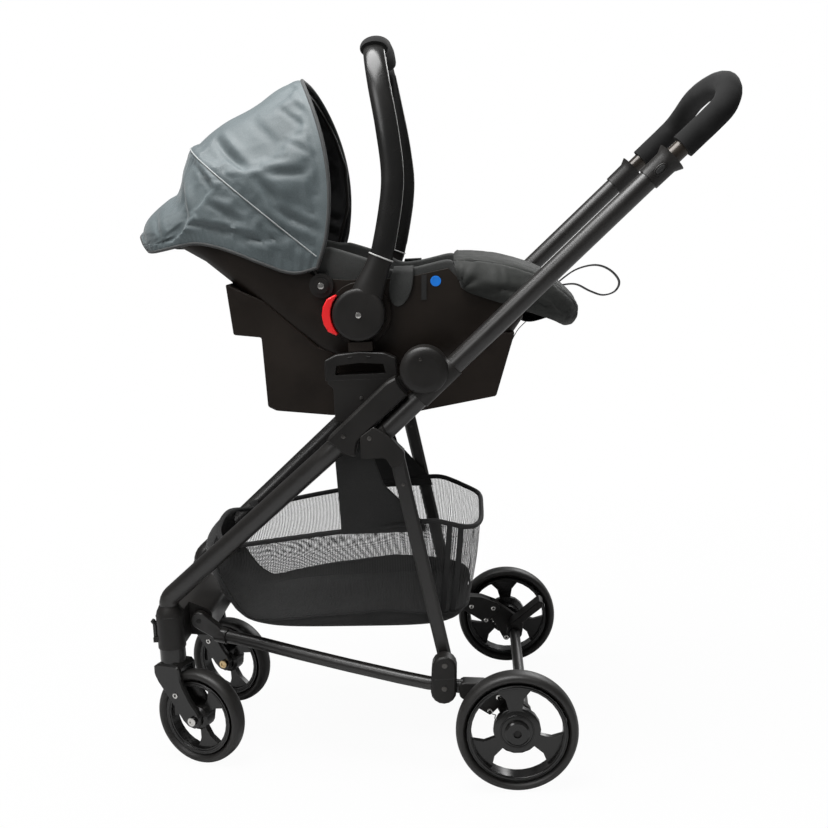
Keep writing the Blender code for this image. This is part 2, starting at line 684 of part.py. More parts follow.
# Swing arm: from the bracket's pin to the axle, with an eye for the cross bar and one for the spring.
def swing_arm():
    low = TUBE_X - ARM_HALF
    high = TUBE_X + ARM_HALF
    outline = hull_of_discs([(ARM_PIN_Y, ARM_PIN_Z, 0.0120), (REAR_AXLE_Y, REAR_WHEEL_R, 0.0150),
                             (BAR_Y, BAR_Z, 0.0130), (SPRING_END_Y, SPRING_END_Z, 0.0060)], 16)
    body = plate("arm", outline, low, high, 0.0015)
    boss_end = REAR_TRACK_HALF - 0.0355
    boss = pin("boss", high - 0.002, boss_end, REAR_AXLE_Y, REAR_WHEEL_R, 0.0140, 20)
    axle = pin("axle", high - 0.002, REAR_TRACK_HALF + 0.0145, REAR_AXLE_Y, REAR_WHEEL_R, REAR_AXLE_R, 14)
    spring = pin("spring_pin", high - 0.001, SPRING_X + 0.0025, SPRING_END_Y, SPRING_END_Z, SPRING_PIN_R, 10)
    join(body, boss, axle, spring)
    return cut(body, pin("eye", low - 0.01, high + 0.002, ARM_PIN_Y, ARM_PIN_Z, ARM_PIN_R + GAP, 10),
               pin("bar_eye", low - 0.01, low + 0.0085, BAR_Y, BAR_Z, 0.0060 + GAP, 12))


# Tension spring between the two pins, hooked round each.
def suspension_spring():
    a = Vector((SPRING_X, SPRING_TOP_Y, SPRING_TOP_Z))
    b = Vector((SPRING_X, SPRING_END_Y, SPRING_END_Z))
    along = (b - a).normalized()
    across = Vector((1, 0, 0)).cross(along)
    hook = SPRING_PIN_R + GAP + WIRE_R
    coil = 0.0030
    path = []
    for k in range(7):
        angle = math.radians(200 - 33 * k)
        path.append(a + along * (-hook * math.cos(angle - math.pi)) + across * (hook * math.sin(angle)))
    start = a + along * (hook + 0.0060)
    end = b - along * (hook + 0.0060)
    turns = 5
    steps = turns * 8
    for k in range(steps + 1):
        angle = 2 * math.pi * turns * k / steps + math.pi / 2
        ring = across * (coil * math.sin(angle)) + Vector((1, 0, 0)) * (coil * math.cos(angle))
        path.append(start.lerp(end, k / steps) + ring)
    for k in range(7):
        angle = math.radians(33 * k)
        path.append(b + along * (hook * math.cos(math.pi - angle)) + across * (hook * math.sin(angle)))
    return tube("spring", path, WIRE_R, 4)


# Brake: cross bar that turns in the arms, with one pedal on the right.
def brake_bar():
    low = TUBE_X - ARM_HALF
    body = pin("bar", -low + GAP, low - GAP, BAR_Y, BAR_Z, BRAKE_BAR_R, 16)
    return join(body, pin("spigot", -low - 0.0080, low + 0.0080, BAR_Y, BAR_Z, 0.0060, 12))


def brake_pedal():
    x = (-0.1850, -0.1450)
    clamp = plate("clamp", hull_of_discs([(BAR_Y, BAR_Z, BRAKE_BAR_R + 0.0050),
                                          (BAR_Y + 0.010, BAR_Z + 0.014, 0.0070)], 16), *x, 0.0015)
    tread = [(BAR_Y - 0.008, BAR_Z + 0.0165), (BAR_Y + 0.004, BAR_Z + 0.0105), (0.6330, 0.1480),
             (0.6350, 0.1560), (0.6280, 0.1610)]
    join(clamp, plate("tread", rounded(tread, 0.003, 2), *x, 0.0015))
    return cut(clamp, pin("bore", -0.25, -0.10, BAR_Y, BAR_Z, BRAKE_BAR_R + GAP, 16))


# Basket: cloth tub hung from loops round the legs and from two side panels under the casings.
def basket_ring(front, rear, half_front, half_rear, z_front, z_rear):
    loop = [(-1, 0.07), (-1, 0.25), (-1, 0.5), (-1, 0.75), (-1, 0.93), (-0.9, 0.985), (-0.5, 1), (0, 1),
            (0.5, 1), (0.9, 0.985), (1, 0.93), (1, 0.75), (1, 0.5), (1, 0.25), (1, 0.07), (0.9, 0.015),
            (0.5, 0), (0, 0), (-0.5, 0), (-0.9, 0.015)]
    out = []
    for u, v in loop:
        half = half_front + (half_rear - half_front) * v ** 0.5
        out.append((u * half, front + (rear - front) * v, z_front + (z_rear - z_front) * v ** 0.6))
    return out


def basket():
    t = 0.0022
    outer = [(0.128, 0.485, 0.120, 0.152, 0.2430, 0.2430), (0.121, 0.496, 0.127, 0.163, 0.2540, 0.2530),
             (0.118, 0.517, 0.130, 0.169, 0.3150, 0.3220), (0.112, 0.526, 0.134, 0.171, 0.3740, 0.4150)]
    inner = [(a + t, b - t, c - t, d - t, e, f) for a, b, c, d, e, f in outer[::-1]]
    inner[-1] = (*inner[-1][:4], 0.2430 + t, 0.2430 + t)
    body = loft("basket", [basket_ring(*row) for row in outer + inner])
    foot = Vector(leg_path[5])
    run = (Vector(leg_path[6]) - foot).normalized()
    for s in (1, -1):
        middle = foot + run * ((0.105 - foot.y) / run.y)
        inwards = (Vector((-1, 0, 0)) + run * run.x).normalized()
        loop = tube("loop", [middle - run * 0.010, middle + run * 0.010], LEG_TUBE_R + 0.0030, 16,
                    bore=LEG_TUBE_R + GAP)
        start = middle + inwards * (LEG_TUBE_R + 0.0026)
        strap = band("strap", [start, Vector((0.1325, 0.150, 0.3600))], 0.003, 0.016, (1, 0, 0))
        edge = [(0.1886, 0.545), (0.1886, 0.515), (0.1625, 0.400), (0.1595, 0.330),
                (0.1550, 0.330), (0.1590, 0.400), (0.1862, 0.515), (0.1862, 0.545)]
        panel = loft("panel", [[(x, 0.304, z) for x, z in edge],
                               [(x, 0.352 + 0.25 * (0.515 - z), z) for x, z in edge]])
        for extra in (loop, strap, panel):
            if s < 0:
                mirrored(extra)
            join(body, extra)
    return body


# Infant seat: stations (y, bottom, rim, half width) of the moulded bucket.
STATIONS = [(0.018, 0.873, 0.900, 0.085), (0.060, 0.852, 0.903, 0.118), (0.100, 0.829, 0.893, 0.136),
            (0.139, 0.796, 0.878, 0.147), (0.200, 0.735, 0.848, 0.153), (0.245, 0.692, 0.822, 0.155),
            (0.290, 0.652, 0.799, 0.156), (0.330, 0.632, 0.794, 0.158), (0.420, 0.622, 0.793, 0.160),
            (0.490, 0.627, 0.805, 0.160), (0.503, 0.628, 0.791, 0.160), (0.545, 0.646, 0.772, 0.156), (0.585, 0.690, 0.751, 0.148),
            (0.604, 0.718, 0.738, 0.138)]
BUCKET = [(-1, 1), (-1, 0.50), (-0.975, 0.28), (-0.90, 0.12), (-0.72, 0.03), (-0.35, 0.0), (0.35, 0.0),
          (0.72, 0.03), (0.90, 0.12), (0.975, 0.28), (1, 0.50), (1, 1)]


def bucket(name, inset, lid):
    """The bucket's form, made smaller all round by inset, closed by a lid this far above the rim."""
    rings = []
    for i, (y, low, rim_z, half) in enumerate(STATIONS):
        if i == 0:
            y = y + inset
        if i == len(STATIONS) - 1:
            y = y - inset
        ring = []
        for u, v in BUCKET:
            z = low + inset + v * (rim_z - low - inset)
            if v == 1:
                z = rim_z + lid
            ring.append((u * (half - inset), y, z))
        rings.append(ring)
    return loft(name, rings, split=True)


def seat_shell():
    body = bucket("shell", 0.0, 0.0)
    for s in (1, -1):
        x = sorted((s * (ADAPTER_INNER - 0.012), s * (ADAPTER_INNER + 0.0017)))
        pad = pin("pad", x[0], x[1], CARRY_Y, CARRY_Z, CARRY_HUB_R + 0.008, 24)
        x = sorted((s * 0.150, s * 0.1922))
        stub = pin("stub", x[0], x[1], CARRY_Y, CARRY_Z, CARRY_PIN_R, 12)
        x = sorted((s * 0.150, s * 0.1684))
        post = pin("post", x[0], x[1], CANOPY_Y, CANOPY_Z - 0.004, CANOPY_PIN_R, 10)
        x = sorted((s * 0.150, s * (ADAPTER_OUTER - 0.0010)))
        foot = box("foot", x, (0.331, 0.369), (ADAPTER_TOP + GAP, CARRY_Z - CARRY_HUB_R - 0.0008))
        join(body, pad, stub, post, foot)
    return cut(body, bucket("hollow", SHELL_WALL, 0.05))


# Seat base: stepped skirt under the bucket, open below.
def seat_base():
    outline = [(0.139, 0.7955), (0.146, 0.715), (0.190, 0.709), (0.193, 0.598), (0.206, 0.591),
               (0.295, 0.580), (0.429, 0.580), (0.557, 0.600), (0.590, 0.700), (0.560, 0.700),
               (0.500, 0.672), (0.420, 0.662), (0.330, 0.668), (0.280, 0.690), (0.200, 0.765)]
    body = plate("base", rounded(outline, 0.003, 2), -0.150, 0.150, 0.0020)
    hollow = [(0.149, 0.780), (0.149, 0.718), (0.194, 0.712), (0.197, 0.550), (0.553, 0.550),
              (0.586, 0.690), (0.560, 0.72), (0.30, 0.72), (0.200, 0.80)]
    cut(body, plate("hollow", hollow, -0.147, 0.147))
    return cut(body, bucket("above", -GAP * 2, 0.2))


# Seat liner: padded lining of the bucket, standing a little over the rim.
def seat_liner():
    body = bucket("liner", SHELL_WALL + GAP, 0.006)
    return cut(body, bucket("hollow", SHELL_WALL + PAD_THICKNESS, 0.05))


# Harness: two shoulder straps and a crotch strap on one buckle, cut to lie on the liner.
def harness():
    body = box("buckle", (-0.024, 0.024), (0.392, 0.436), (0.6850, 0.7000))
    for s in (1, -1):
        path = smooth([(s * 0.040, 0.150, 0.800), (s * 0.040, 0.190, 0.790), (s * 0.036, 0.260, 0.740),
                       (s * 0.026, 0.330, 0.705), (s * 0.014, 0.400, 0.6925)], 3)
        join(body, band("strap", path, 0.022, 0.0026))
    crotch = smooth([(0, 0.420, 0.6925), (0, 0.445, 0.688), (0, 0.462, 0.665), (0, 0.466, 0.620)], 3)
    join(body, band("crotch", crotch, 0.024, 0.0030))
    inside = bucket("inside", SHELL_WALL + PAD_THICKNESS + GAP, 0.05)
    return boolean(body, inside, "INTERSECT")


# Foot cover: padded hood over the foot end, its skirt outside the shell's rim.
COVER = [(0.503, 0.773, 0.829, 0.1655), (0.545, 0.757, 0.826, 0.1655), (0.585, 0.738, 0.813, 0.160),
         (0.625, 0.722, 0.796, 0.147), (0.655, 0.717, 0.773, 0.122), (0.676, 0.7175, 0.752, 0.092),
         (0.687, 0.7215, 0.739, 0.062)]
ARCH = [(-1, 0.0), (-1, 0.35), (-0.94, 0.66), (-0.78, 0.88), (-0.45, 0.985), (0.0, 1.0), (0.45, 0.985),
        (0.78, 0.88), (0.94, 0.66), (1, 0.35), (1, 0.0)]


def foot_cover():
    t = 0.0050
    outer = [[(u * w, y, low + v * (top - low)) for u, v in ARCH] for y, low, top, w in COVER]
    body = loft("cover", outer)
    rows = [(0.48, *COVER[0][1:])] + COVER[:-1] + [(COVER[-1][0] - t, *COVER[-1][1:])]
    inner = []
    for y, low, top, w in rows:
        ring = []
        for u, v in ARCH:
            z = low + v * (top - t - low)
            if v == 0.0:
                z = low - 0.03
            ring.append((u * (w - t), y, z))
        inner.append(ring)
    return cut(body, loft("inside", inner))


# Canopy: rows (base y, base z, apex y, apex z, half width, forward bulge) from the bow to the tip.
CANOPY_ROWS = [(0.2840, 0.8130, 0.2710, 1.1060, 0.1680, 0.040), (0.2380, 0.8170, 0.2180, 1.0870, 0.1680, 0.022),
               (0.1880, 0.8310, 0.1680, 1.0620, 0.1670, 0.008), (0.1480, 0.8420, 0.1280, 1.0420, 0.1640, 0.000),
               (0.1120, 0.8520, 0.0940, 1.0130, 0.1590, 0.000), (0.0900, 0.8560, 0.0790, 0.9800, 0.1530, 0.000),
               (0.0740, 0.8560, 0.0700, 0.9520, 0.1460, 0.000), (0.0450, 0.8540, 0.0360, 0.9330, 0.1330, 0.000),
               (0.0120, 0.8540, -0.0060, 0.9010, 0.1100, 0.000), (-0.0080, 0.8610, -0.0230, 0.8790, 0.0750, 0.000)]


def canopy_row(row, inset):
    base_y, base_z, apex_y, apex_z, half, bulge = row
    out = []
    for k in range(13):
        a = math.pi * k / 12
        c = math.cos(a)
        s = math.sin(a)
        x = (half - inset) * math.copysign(abs(c) ** 0.72, c)
        h = abs(s) ** 0.80
        y = base_y + (apex_y - base_y) * h + bulge * math.sin(math.pi * h) + (inset if half < 0.08 else 0)
        z = base_z + (apex_z - inset - base_z) * h
        out.append((x, y, z))
    return out


def canopy_fabric():
    outer = [canopy_row(row, 0.0) for row in CANOPY_ROWS]
    inner = [canopy_row(row, CANOPY_CLOTH) for row in CANOPY_ROWS]
    rings = [a + b[::-1] for a, b in zip(outer, inner)]
    body = loft("canopy", rings, split=True)
    return body


def canopy_bow():
    hoop = canopy_row((0.2840, 0.8130, 0.2710, 1.1060, 0.1680, 0.040), CANOPY_CLOTH + 0.0058)
    path = [Vector(p) + Vector((0, -0.0060, 0)) for p in hoop]
    path[0] = Vector((0.1612, 0.2800, 0.8200))
    path[-1] = Vector((-0.1612, 0.2800, 0.8200))
    path = [Vector((0.1612, CANOPY_Y, CANOPY_Z - 0.004))] + path + [Vector((-0.1612, CANOPY_Y, CANOPY_Z - 0.004))]
    body = tube("bow", smooth(path, 1), 0.0028, 6)
    for s in (1, -1):
        x = sorted((s * 0.1585, s * 0.1642))
        disc = pin("disc", x[0], x[1], CANOPY_Y, CANOPY_Z - 0.004, 0.0190, 20)
        x = sorted((s * 0.1630, s * 0.1690))
        cap = pin("cap", x[0], x[1], CANOPY_Y, CANOPY_Z - 0.004, 0.0120, 16)
        x = sorted((s * 0.14, s * 0.18))
        join(body, disc, cap)
        cut(body, pin("hole", x[0], x[1], CANOPY_Y, CANOPY_Z - 0.004, CANOPY_PIN_R + GAP, 10))
    return body


# Carry handle: oval bow between two hub discs, with a foam grip on its top.
def carry_curve():
    half = smooth([(0.1808, CARRY_Y, CARRY_Z), (0.1808, 0.387, 0.821), (0.1795, 0.405, 0.896),
                   (0.1760, 0.412, 0.953), (0.1680, 0.4065, 1.022), (0.1530, 0.397, 1.087),
                   (0.1270, 0.391, 1.130), (0.0930, 0.389, CARRY_TOP - 0.010), (0.0500, 0.389, CARRY_TOP - 0.001),
                   (0.0, 0.389, CARRY_TOP)], 1)
    return half + [Vector((-p.x, p.y, p.z)) for p in half[-2::-1]]


def carry_handle():
    body = tube("bow", carry_curve(), 0.0172, 12, reference=(0, 1, 0), squash=0.44, carried=False)
    for s in (1, -1):
        inner = ADAPTER_INNER + 0.0020
        profile = [(CARRY_HUB_R, inner), (CARRY_HUB_R, 0.1900), (CARRY_HUB_R - 0.0020, 0.1925),
                   (CARRY_HUB_R - 0.0070, 0.1940)]
        if s < 0:
            profile = [(r, -x) for r, x in profile]
        join(body, turned("hub", profile, (0, CARRY_Y, CARRY_Z), "X", 28))
        x = sorted((s * 0.15, s * 0.1925))
        cut(body, pin("bore", x[0], x[1], CARRY_Y, CARRY_Z, CARRY_PIN_R + GAP, 12))
    return body


def carry_grip():
    path = [p for p in carry_curve() if abs(p.x) < 0.100]
    outer = sections(path, circle(0.0212, 12, 0.60), (0, 1, 0), False)
    inner = sections(path, circle(0.0172 + GAP * 2, 12, 0.46), (0, 1, 0), False)
    return loft("grip", outer + inner[::-1], ring_of_rings=True)


# Release button: crescent beside the hub disc.
def release_button():
    out = []
    for k in range(7):
        a = math.radians(138 + 82 * k / 6)
        out.append((CARRY_Y + (CARRY_HUB_R + 0.0022) * math.cos(a), CARRY_Z + (CARRY_HUB_R + 0.0022) * math.sin(a)))
    for k in range(7):
        t = k / 6
        a = math.radians(220 - 82 * t)
        r = CARRY_HUB_R + 0.0050 + 0.0075 * math.sin(math.pi * t) ** 0.6
        out.append((CARRY_Y + r * math.cos(a), CARRY_Z + r * math.sin(a)))
    return plate("button", out, ADAPTER_INNER + 0.0020, 0.1850, 0.0010)


black_tube = look("satin_black_tube", (0.012, 0.011, 0.011), 0.32, 0.0)
inner_tube = look("grey_black_tube", (0.020, 0.019, 0.018), 0.25, 0.3)
moulding = look("black_moulding", (0.014, 0.014, 0.014), 0.45)
gloss = look("gloss_black_moulding", (0.010, 0.010, 0.010), 0.18)
warm_shell = look("seat_moulding", (0.022, 0.020, 0.018), 0.50)
rubber = look("tyre_rubber", (0.012, 0.012, 0.012), 0.48)
foam = look("handle_foam", (0.022, 0.022, 0.024), 0.90)
cloth = look("charcoal_cloth", (0.060, 0.066, 0.068), 0.85)
basket_cloth = look("basket_cloth", (0.014, 0.014, 0.014), 0.90)
webbing = look("black_webbing", (0.012, 0.012, 0.012), 0.80)
spring_steel = look("spring_steel", (0.45, 0.45, 0.45), 0.30, 1.0)
red = look("red_button", (0.65, 0.020, 0.025), 0.35)

hub_axis = (0, HUB_Y, HUB_Z)
rail_axis = (0, RAIL_PIN_Y, RAIL_PIN_Z)
arm_axis = (0, ARM_PIN_Y, ARM_PIN_Z)
bar_axis = (0, BAR_Y, BAR_Z)
slide_start = at(0, on_tube(0.32, LEVER_OFFSET))
carry_axis = (0, CARRY_Y, CARRY_Z)
canopy_axis = (0, CANOPY_Y, CANOPY_Z - 0.004)

rear_hub = [(0.0270, -0.0345), (0.0270, -0.0100), (0.0370, -0.0080), (0.0370, 0.0030), (0.0330, 0.0060),
            (0.0195, 0.0080), (0.0195, 0.0150), (0.0170, 0.0170)]
front_hub = [(0.0150, -0.0155), (0.0200, -0.0110), (0.0200, 0.0110), (0.0150, 0.0155)]

SIDED = [
    (front_leg, "front_leg", black_tube, (0, 0, 0)),
    (leg_casing, "leg_casing", moulding, (0, 0, 0)),
    (seat_adapter, "seat_adapter", moulding, (0, 0, 0)),
    (caster_housing, "caster_housing", moulding, (0, 0, 0)),
    (fold_hub, "fold_hub", moulding, hub_axis),
    (push_tube, "push_tube", black_tube, hub_axis),
    (lever_bracket, "lever_bracket", moulding, hub_axis),
    (telescope_collar, "telescope_collar", moulding, hub_axis),
    (rear_leg, "rear_leg", black_tube, (0, LEVER_PIN_Y, LEVER_PIN_Z)),
    (side_rail, "side_rail", black_tube, rail_axis),
    (rail_bracket, "rail_bracket", moulding, rail_axis),
    (suspension_bracket, "suspension_bracket", moulding, rail_axis),
    (swing_arm, "swing_arm", moulding, arm_axis),
    (suspension_spring, "suspension_spring", spring_steel, (0, SPRING_TOP_Y, SPRING_TOP_Z)),
]

for side, mark in ((1, "l"), (-1, "r")):
    for make, name, material, origin in SIDED:
        made = make()
        if side < 0:
            mirrored(made)
        place(made, name + "_" + mark, material, origin)
    made = telescope_button()
    made = made if side > 0 else mirrored(made)
    middle = on_tube(COLLAR_S - 0.0035, LEVER_OFFSET)
    place(made, "telescope_button_" + mark, rubber, (side * (TUBE_X + PUSH_TUBE_R + 0.0045), *middle))
    made = swivel_lock()
    made = made if side > 0 else mirrored(made)
    place(made, "swivel_lock_" + mark, gloss, (side * SWIVEL_X, -0.0262, 0.2105))
    made = release_button()
    made = made if side > 0 else mirrored(made)
    place(made, "release_button_" + mark, red, (side * 0.177, CARRY_Y - CARRY_HUB_R - 0.006, CARRY_Z))

    fork = place(front_fork(), "front_fork_" + mark, gloss)
    fork.location = (side * SWIVEL_X, 0, 0)
    fork.rotation_euler = (0, 0, CASTER_TURN)
    hub = (side * SWIVEL_X - TRAIL * math.sin(CASTER_TURN), TRAIL * math.cos(CASTER_TURN), FRONT_WHEEL_R)
    seat = FRONT_WHEEL_R - FRONT_TYRE_DEPTH - GAP
    wheel = rim(seat, seat - FRONT_RIM_DEPTH, FRONT_TYRE_WIDTH * 0.40, front_hub, (-0.0055, 0.0055),
                math.radians(-75), FRONT_AXLE_R + GAP)
    wheel = place(wheel, "front_rim_" + mark, gloss)
    wheel.location = hub
    wheel.rotation_euler = (0, 0, CASTER_TURN)
    made = place(tyre(FRONT_WHEEL_R, FRONT_TYRE_DEPTH, FRONT_TYRE_WIDTH), "front_tyre_" + mark, rubber)
    made.location = hub
    made.rotation_euler = (0, 0, CASTER_TURN)

    hub = (side * REAR_TRACK_HALF, REAR_AXLE_Y, REAR_WHEEL_R)
    seat = REAR_WHEEL_R - REAR_TYRE_DEPTH - GAP
    wheel = rim(seat, seat - REAR_RIM_DEPTH, REAR_TYRE_WIDTH * 0.42, rear_hub, (-0.0050, 0.0050),
                math.radians(92), REAR_AXLE_R + GAP)
    wheel = wheel if side > 0 else mirrored(wheel)
    place(wheel, "rear_rim_" + mark, gloss).location = hub
    made = tyre(REAR_WHEEL_R, REAR_TYRE_DEPTH, REAR_TYRE_WIDTH)
    place(made, "rear_tyre_" + mark, rubber).location = hub

place(cross_member(), "front_cross_member", moulding)
place(basket(), "basket", basket_cloth)
place(handle_loop(), "handle_loop", inner_tube, slide_start)
place(handle_grip(), "handle_grip", foam, slide_start)
place(brake_bar(), "brake_bar", black_tube, bar_axis)
place(brake_pedal(), "brake_pedal", moulding, bar_axis)
place(seat_shell(), "seat_shell", warm_shell)
place(seat_base(), "seat_base", warm_shell)
place(seat_liner(), "seat_liner", cloth)
place(harness(), "harness", webbing)
place(foot_cover(), "foot_cover", cloth)
place(canopy_fabric(), "canopy_fabric", cloth, canopy_axis)
place(canopy_bow(), "canopy_bow", moulding, canopy_axis)
place(carry_handle(), "carry_handle", gloss, carry_axis)
place(carry_grip(), "carry_grip", foam, carry_axis)

# Stand the whole on the floor, centred under its box.
bpy.context.view_layer.update()
corners = [piece.matrix_world @ v.co for piece in pieces for v in piece.data.vertices]
front = min(p.y for p in corners)
rear = max(p.y for p in corners)
root.location = (0, -(front + rear) / 2, 0)
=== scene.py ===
"""Folding stroller chassis with a rear-facing infant seat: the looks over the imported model."""

import json
import math

import bmesh
import bpy
import numpy as np
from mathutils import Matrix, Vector, noise


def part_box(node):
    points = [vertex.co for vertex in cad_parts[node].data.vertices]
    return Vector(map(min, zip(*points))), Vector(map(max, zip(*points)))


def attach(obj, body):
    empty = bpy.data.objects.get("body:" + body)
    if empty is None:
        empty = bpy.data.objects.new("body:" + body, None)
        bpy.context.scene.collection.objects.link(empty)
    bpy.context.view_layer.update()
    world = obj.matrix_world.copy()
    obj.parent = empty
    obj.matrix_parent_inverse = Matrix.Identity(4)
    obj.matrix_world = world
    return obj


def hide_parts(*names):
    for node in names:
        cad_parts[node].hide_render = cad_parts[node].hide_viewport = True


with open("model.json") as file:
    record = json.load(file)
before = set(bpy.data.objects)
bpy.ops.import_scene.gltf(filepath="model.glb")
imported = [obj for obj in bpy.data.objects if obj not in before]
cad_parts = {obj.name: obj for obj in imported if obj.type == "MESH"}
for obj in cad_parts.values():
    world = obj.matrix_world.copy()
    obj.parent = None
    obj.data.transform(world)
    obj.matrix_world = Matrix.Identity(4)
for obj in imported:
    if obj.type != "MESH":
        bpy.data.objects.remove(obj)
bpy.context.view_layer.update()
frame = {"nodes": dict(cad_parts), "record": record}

# Camera: the photograph's view, from the stroller's left and a little behind its middle, looking
# slightly down with a normal lens.
bpy.ops.object.camera_add(location=(2.0032, 0.0687, 0.8876), rotation=(1.41251, 0.04849, 1.61016))
camera = bpy.context.object
camera.data.sensor_width = 36
camera.data.lens = 51.49
camera.data.shift_x = -0.0097
camera.data.shift_y = -0.0117
bpy.context.scene.camera = camera
bpy.context.scene.view_settings.view_transform = "Standard"

# Studio: a white floor under one broad soft lamp overhead and two weak ones at the sides. The floor
# takes a faint shadow near the wheels and goes to plain white further out.
FLOOR_GREY = (0.55, 0.55, 0.55, 1)
WHITE_NEAR, WHITE_FAR = 0.955, 1.0
AMBIENT = 0.18


def fresh(name, add, **settings):
    """Add something new, which leaves it alone selected, and name it."""
    add(**settings)
    piece = bpy.context.object
    piece.name = name
    return piece


def add_node(tree, kind, **values):
    """Add a shader node; each value is a setting of the node or else an input, _ for a space."""
    node = tree.nodes.new("ShaderNode" + kind)
    for name, value in values.items():
        if hasattr(node, name):
            setattr(node, name, value)
        else:
            node.inputs[name.replace("_", " ")].default_value = value
    return node


def wire(source, output, target, socket):
    """Link a node's output to an input of another node in its tree."""
    source.id_data.links.new(source.outputs[output], target.inputs[socket])


floor = fresh("studio_floor", bpy.ops.mesh.primitive_plane_add, size=30)
paper = bpy.data.materials.new("white_floor")
paper.use_nodes = True
tree = paper.node_tree
shader = tree.nodes["Principled BSDF"]
shader.inputs["Base Color"].default_value = FLOOR_GREY
shader.inputs["Roughness"].default_value = 0.9
shader.inputs["Specular IOR Level"].default_value = 0.1
where = add_node(tree, "TexCoord")
nearer = add_node(tree, "Mapping", Scale=(0.55, 0.55, 1))
round_it = add_node(tree, "TexGradient", gradient_type="SPHERICAL")
keep = add_node(tree, "MapRange", To_Min=WHITE_FAR, To_Max=WHITE_NEAR)
rays = add_node(tree, "LightPath")
share = add_node(tree, "Math", operation="MULTIPLY")
white = add_node(tree, "Emission")
blend = add_node(tree, "MixShader")
wire(where, "Object", nearer, "Vector")
wire(nearer, "Vector", round_it, "Vector")
wire(round_it, "Fac", keep, "Value")
wire(rays, "Is Camera Ray", share, 0)
wire(keep, "Result", share, 1)
wire(share, "Value", blend, "Fac")
wire(shader, "BSDF", blend, 1)
wire(white, "Emission", blend, 2)
wire(blend, "Shader", tree.nodes["Material Output"], "Surface")
floor.data.materials.append(paper)

world = bpy.data.worlds.new("studio")
bpy.context.scene.world = world
world.use_nodes = True
tree = world.node_tree
backdrop = tree.nodes["Background"]
backdrop.inputs["Color"].default_value = (1, 1, 1, 1)
rays = add_node(tree, "LightPath")
seen = add_node(tree, "Math", operation="MAXIMUM")
level = add_node(tree, "MapRange", To_Min=AMBIENT, To_Max=1.0)
wire(rays, "Is Camera Ray", seen, 0)
wire(rays, "Is Transmission Ray", seen, 1)
wire(seen, "Value", level, "Value")
wire(level, "Result", backdrop, "Strength")

for lamp_name, place, aim, size, power in (
        ("overhead_lamp", (0.4, -0.5, 3.0), (0, 0, 0.8), 1.8, 135),
        ("left_lamp", (2.5, -1.6, 2.5), (0, 0, 0.6), 1.0, 24),
        ("right_lamp", (-2.4, 1.2, 1.8), (0, 0, 0.6), 1.4, 30)):
    lamp = fresh(lamp_name, bpy.ops.object.light_add, type="AREA", location=place)
    lamp.data.size = size
    lamp.data.energy = power
    lamp.rotation_euler = (Vector(aim) - Vector(place)).to_track_quat("-Z", "Y").to_euler()

# Front legs: round steel tube, sprayed satin black, bent at the foot and pressed in the caster
# housings. The rear legs, rails, push tubes and brake bar are of the same tube and paint.
BODIES = frame["record"]["behaviour"]["bodies"]
body_of = {member: body for body, members in BODIES.items() for member in members}
SIDES = ((1, "l"), (-1, "r"))
FLAT_ANGLE = 0.8


def finish_of(name, colour, roughness, metallic=0.0, coat=0.0, sheen=0.0, shine=0.5):
    """A Principled material with its even values on the shader's own sockets."""
    material = bpy.data.materials.new(name)
    material.use_nodes = True
    shader = material.node_tree.nodes["Principled BSDF"]
    shader.inputs["Base Color"].default_value = (*colour, 1)
    shader.inputs["Roughness"].default_value = roughness
    shader.inputs["Metallic"].default_value = metallic
    shader.inputs["Specular IOR Level"].default_value = shine
    shader.inputs["Coat Weight"].default_value = coat
    shader.inputs["Coat Roughness"].default_value = 0.12
    shader.inputs["Sheen Weight"].default_value = sheen
    shader.inputs["Sheen Roughness"].default_value = 0.45
    return material


def toned(source, output, shader, dark, light, low=0.0, high=1.0):
    """Colour the shader from dark to light as a node's output goes from low to high."""
    ramp = add_node(shader.id_data, "ValToRGB")
    for stop, place, colour in zip(ramp.color_ramp.elements, (low, high), (dark, light)):
        stop.position = place
        stop.color = (*colour, 1)
    wire(source, output, ramp, "Fac")
    wire(ramp, "Color", shader, "Base Color")


def grained(name, colour, roughness, scale, height, dark, light, rough, patches=14.0, **more):
    """A finish with fine bumps, slow change of colour and uneven gloss, in the piece's coordinates."""
    material = finish_of(name, colour, roughness, **more)
    tree = material.node_tree
    shader = tree.nodes["Principled BSDF"]
    where = add_node(tree, "TexCoord")
    fine = add_node(tree, "TexNoise", Scale=scale, Detail=3.0)
    slow = add_node(tree, "TexNoise", Scale=patches, Detail=5.0)
    bump = add_node(tree, "Bump", Strength=0.6, Distance=height)
    gloss = add_node(tree, "MapRange", From_Min=0.3, From_Max=0.7, To_Min=rough[0], To_Max=rough[1])
    wire(where, "Object", fine, "Vector")
    wire(where, "Object", slow, "Vector")
    wire(fine, "Fac", bump, "Height")
    wire(bump, "Normal", shader, "Normal")
    toned(slow, "Fac", shader, dark, light, 0.32, 0.7)
    wire(slow, "Fac", gloss, "Value")
    wire(gloss, "Result", shader, "Roughness")
    return material


def only(piece):
    """Select this piece alone and make it active."""
    bpy.ops.object.select_all(action="DESELECT")
    piece.select_set(True)
    bpy.context.view_layer.objects.active = piece


def modified(piece, kind, **settings):
    """Add one modifier with its settings and apply it."""
    only(piece)
    bpy.ops.object.modifier_add(type=kind)
    modifier = piece.modifiers[-1]
    for setting, value in settings.items():
        setattr(modifier, setting, value)
    bpy.ops.object.modifier_apply(modifier=modifier.name)


def opened(piece):
    """Open the piece for editing with all of it selected."""
    only(piece)
    bpy.ops.object.mode_set(mode="EDIT")
    bpy.ops.mesh.select_all(action="SELECT")


def bevelled(piece, width, angle, segments=2):
    """Round the edges sharper than angle, in degrees."""
    modified(piece, "BEVEL", width=width, segments=segments, limit_method="ANGLE",
             angle_limit=math.radians(angle))


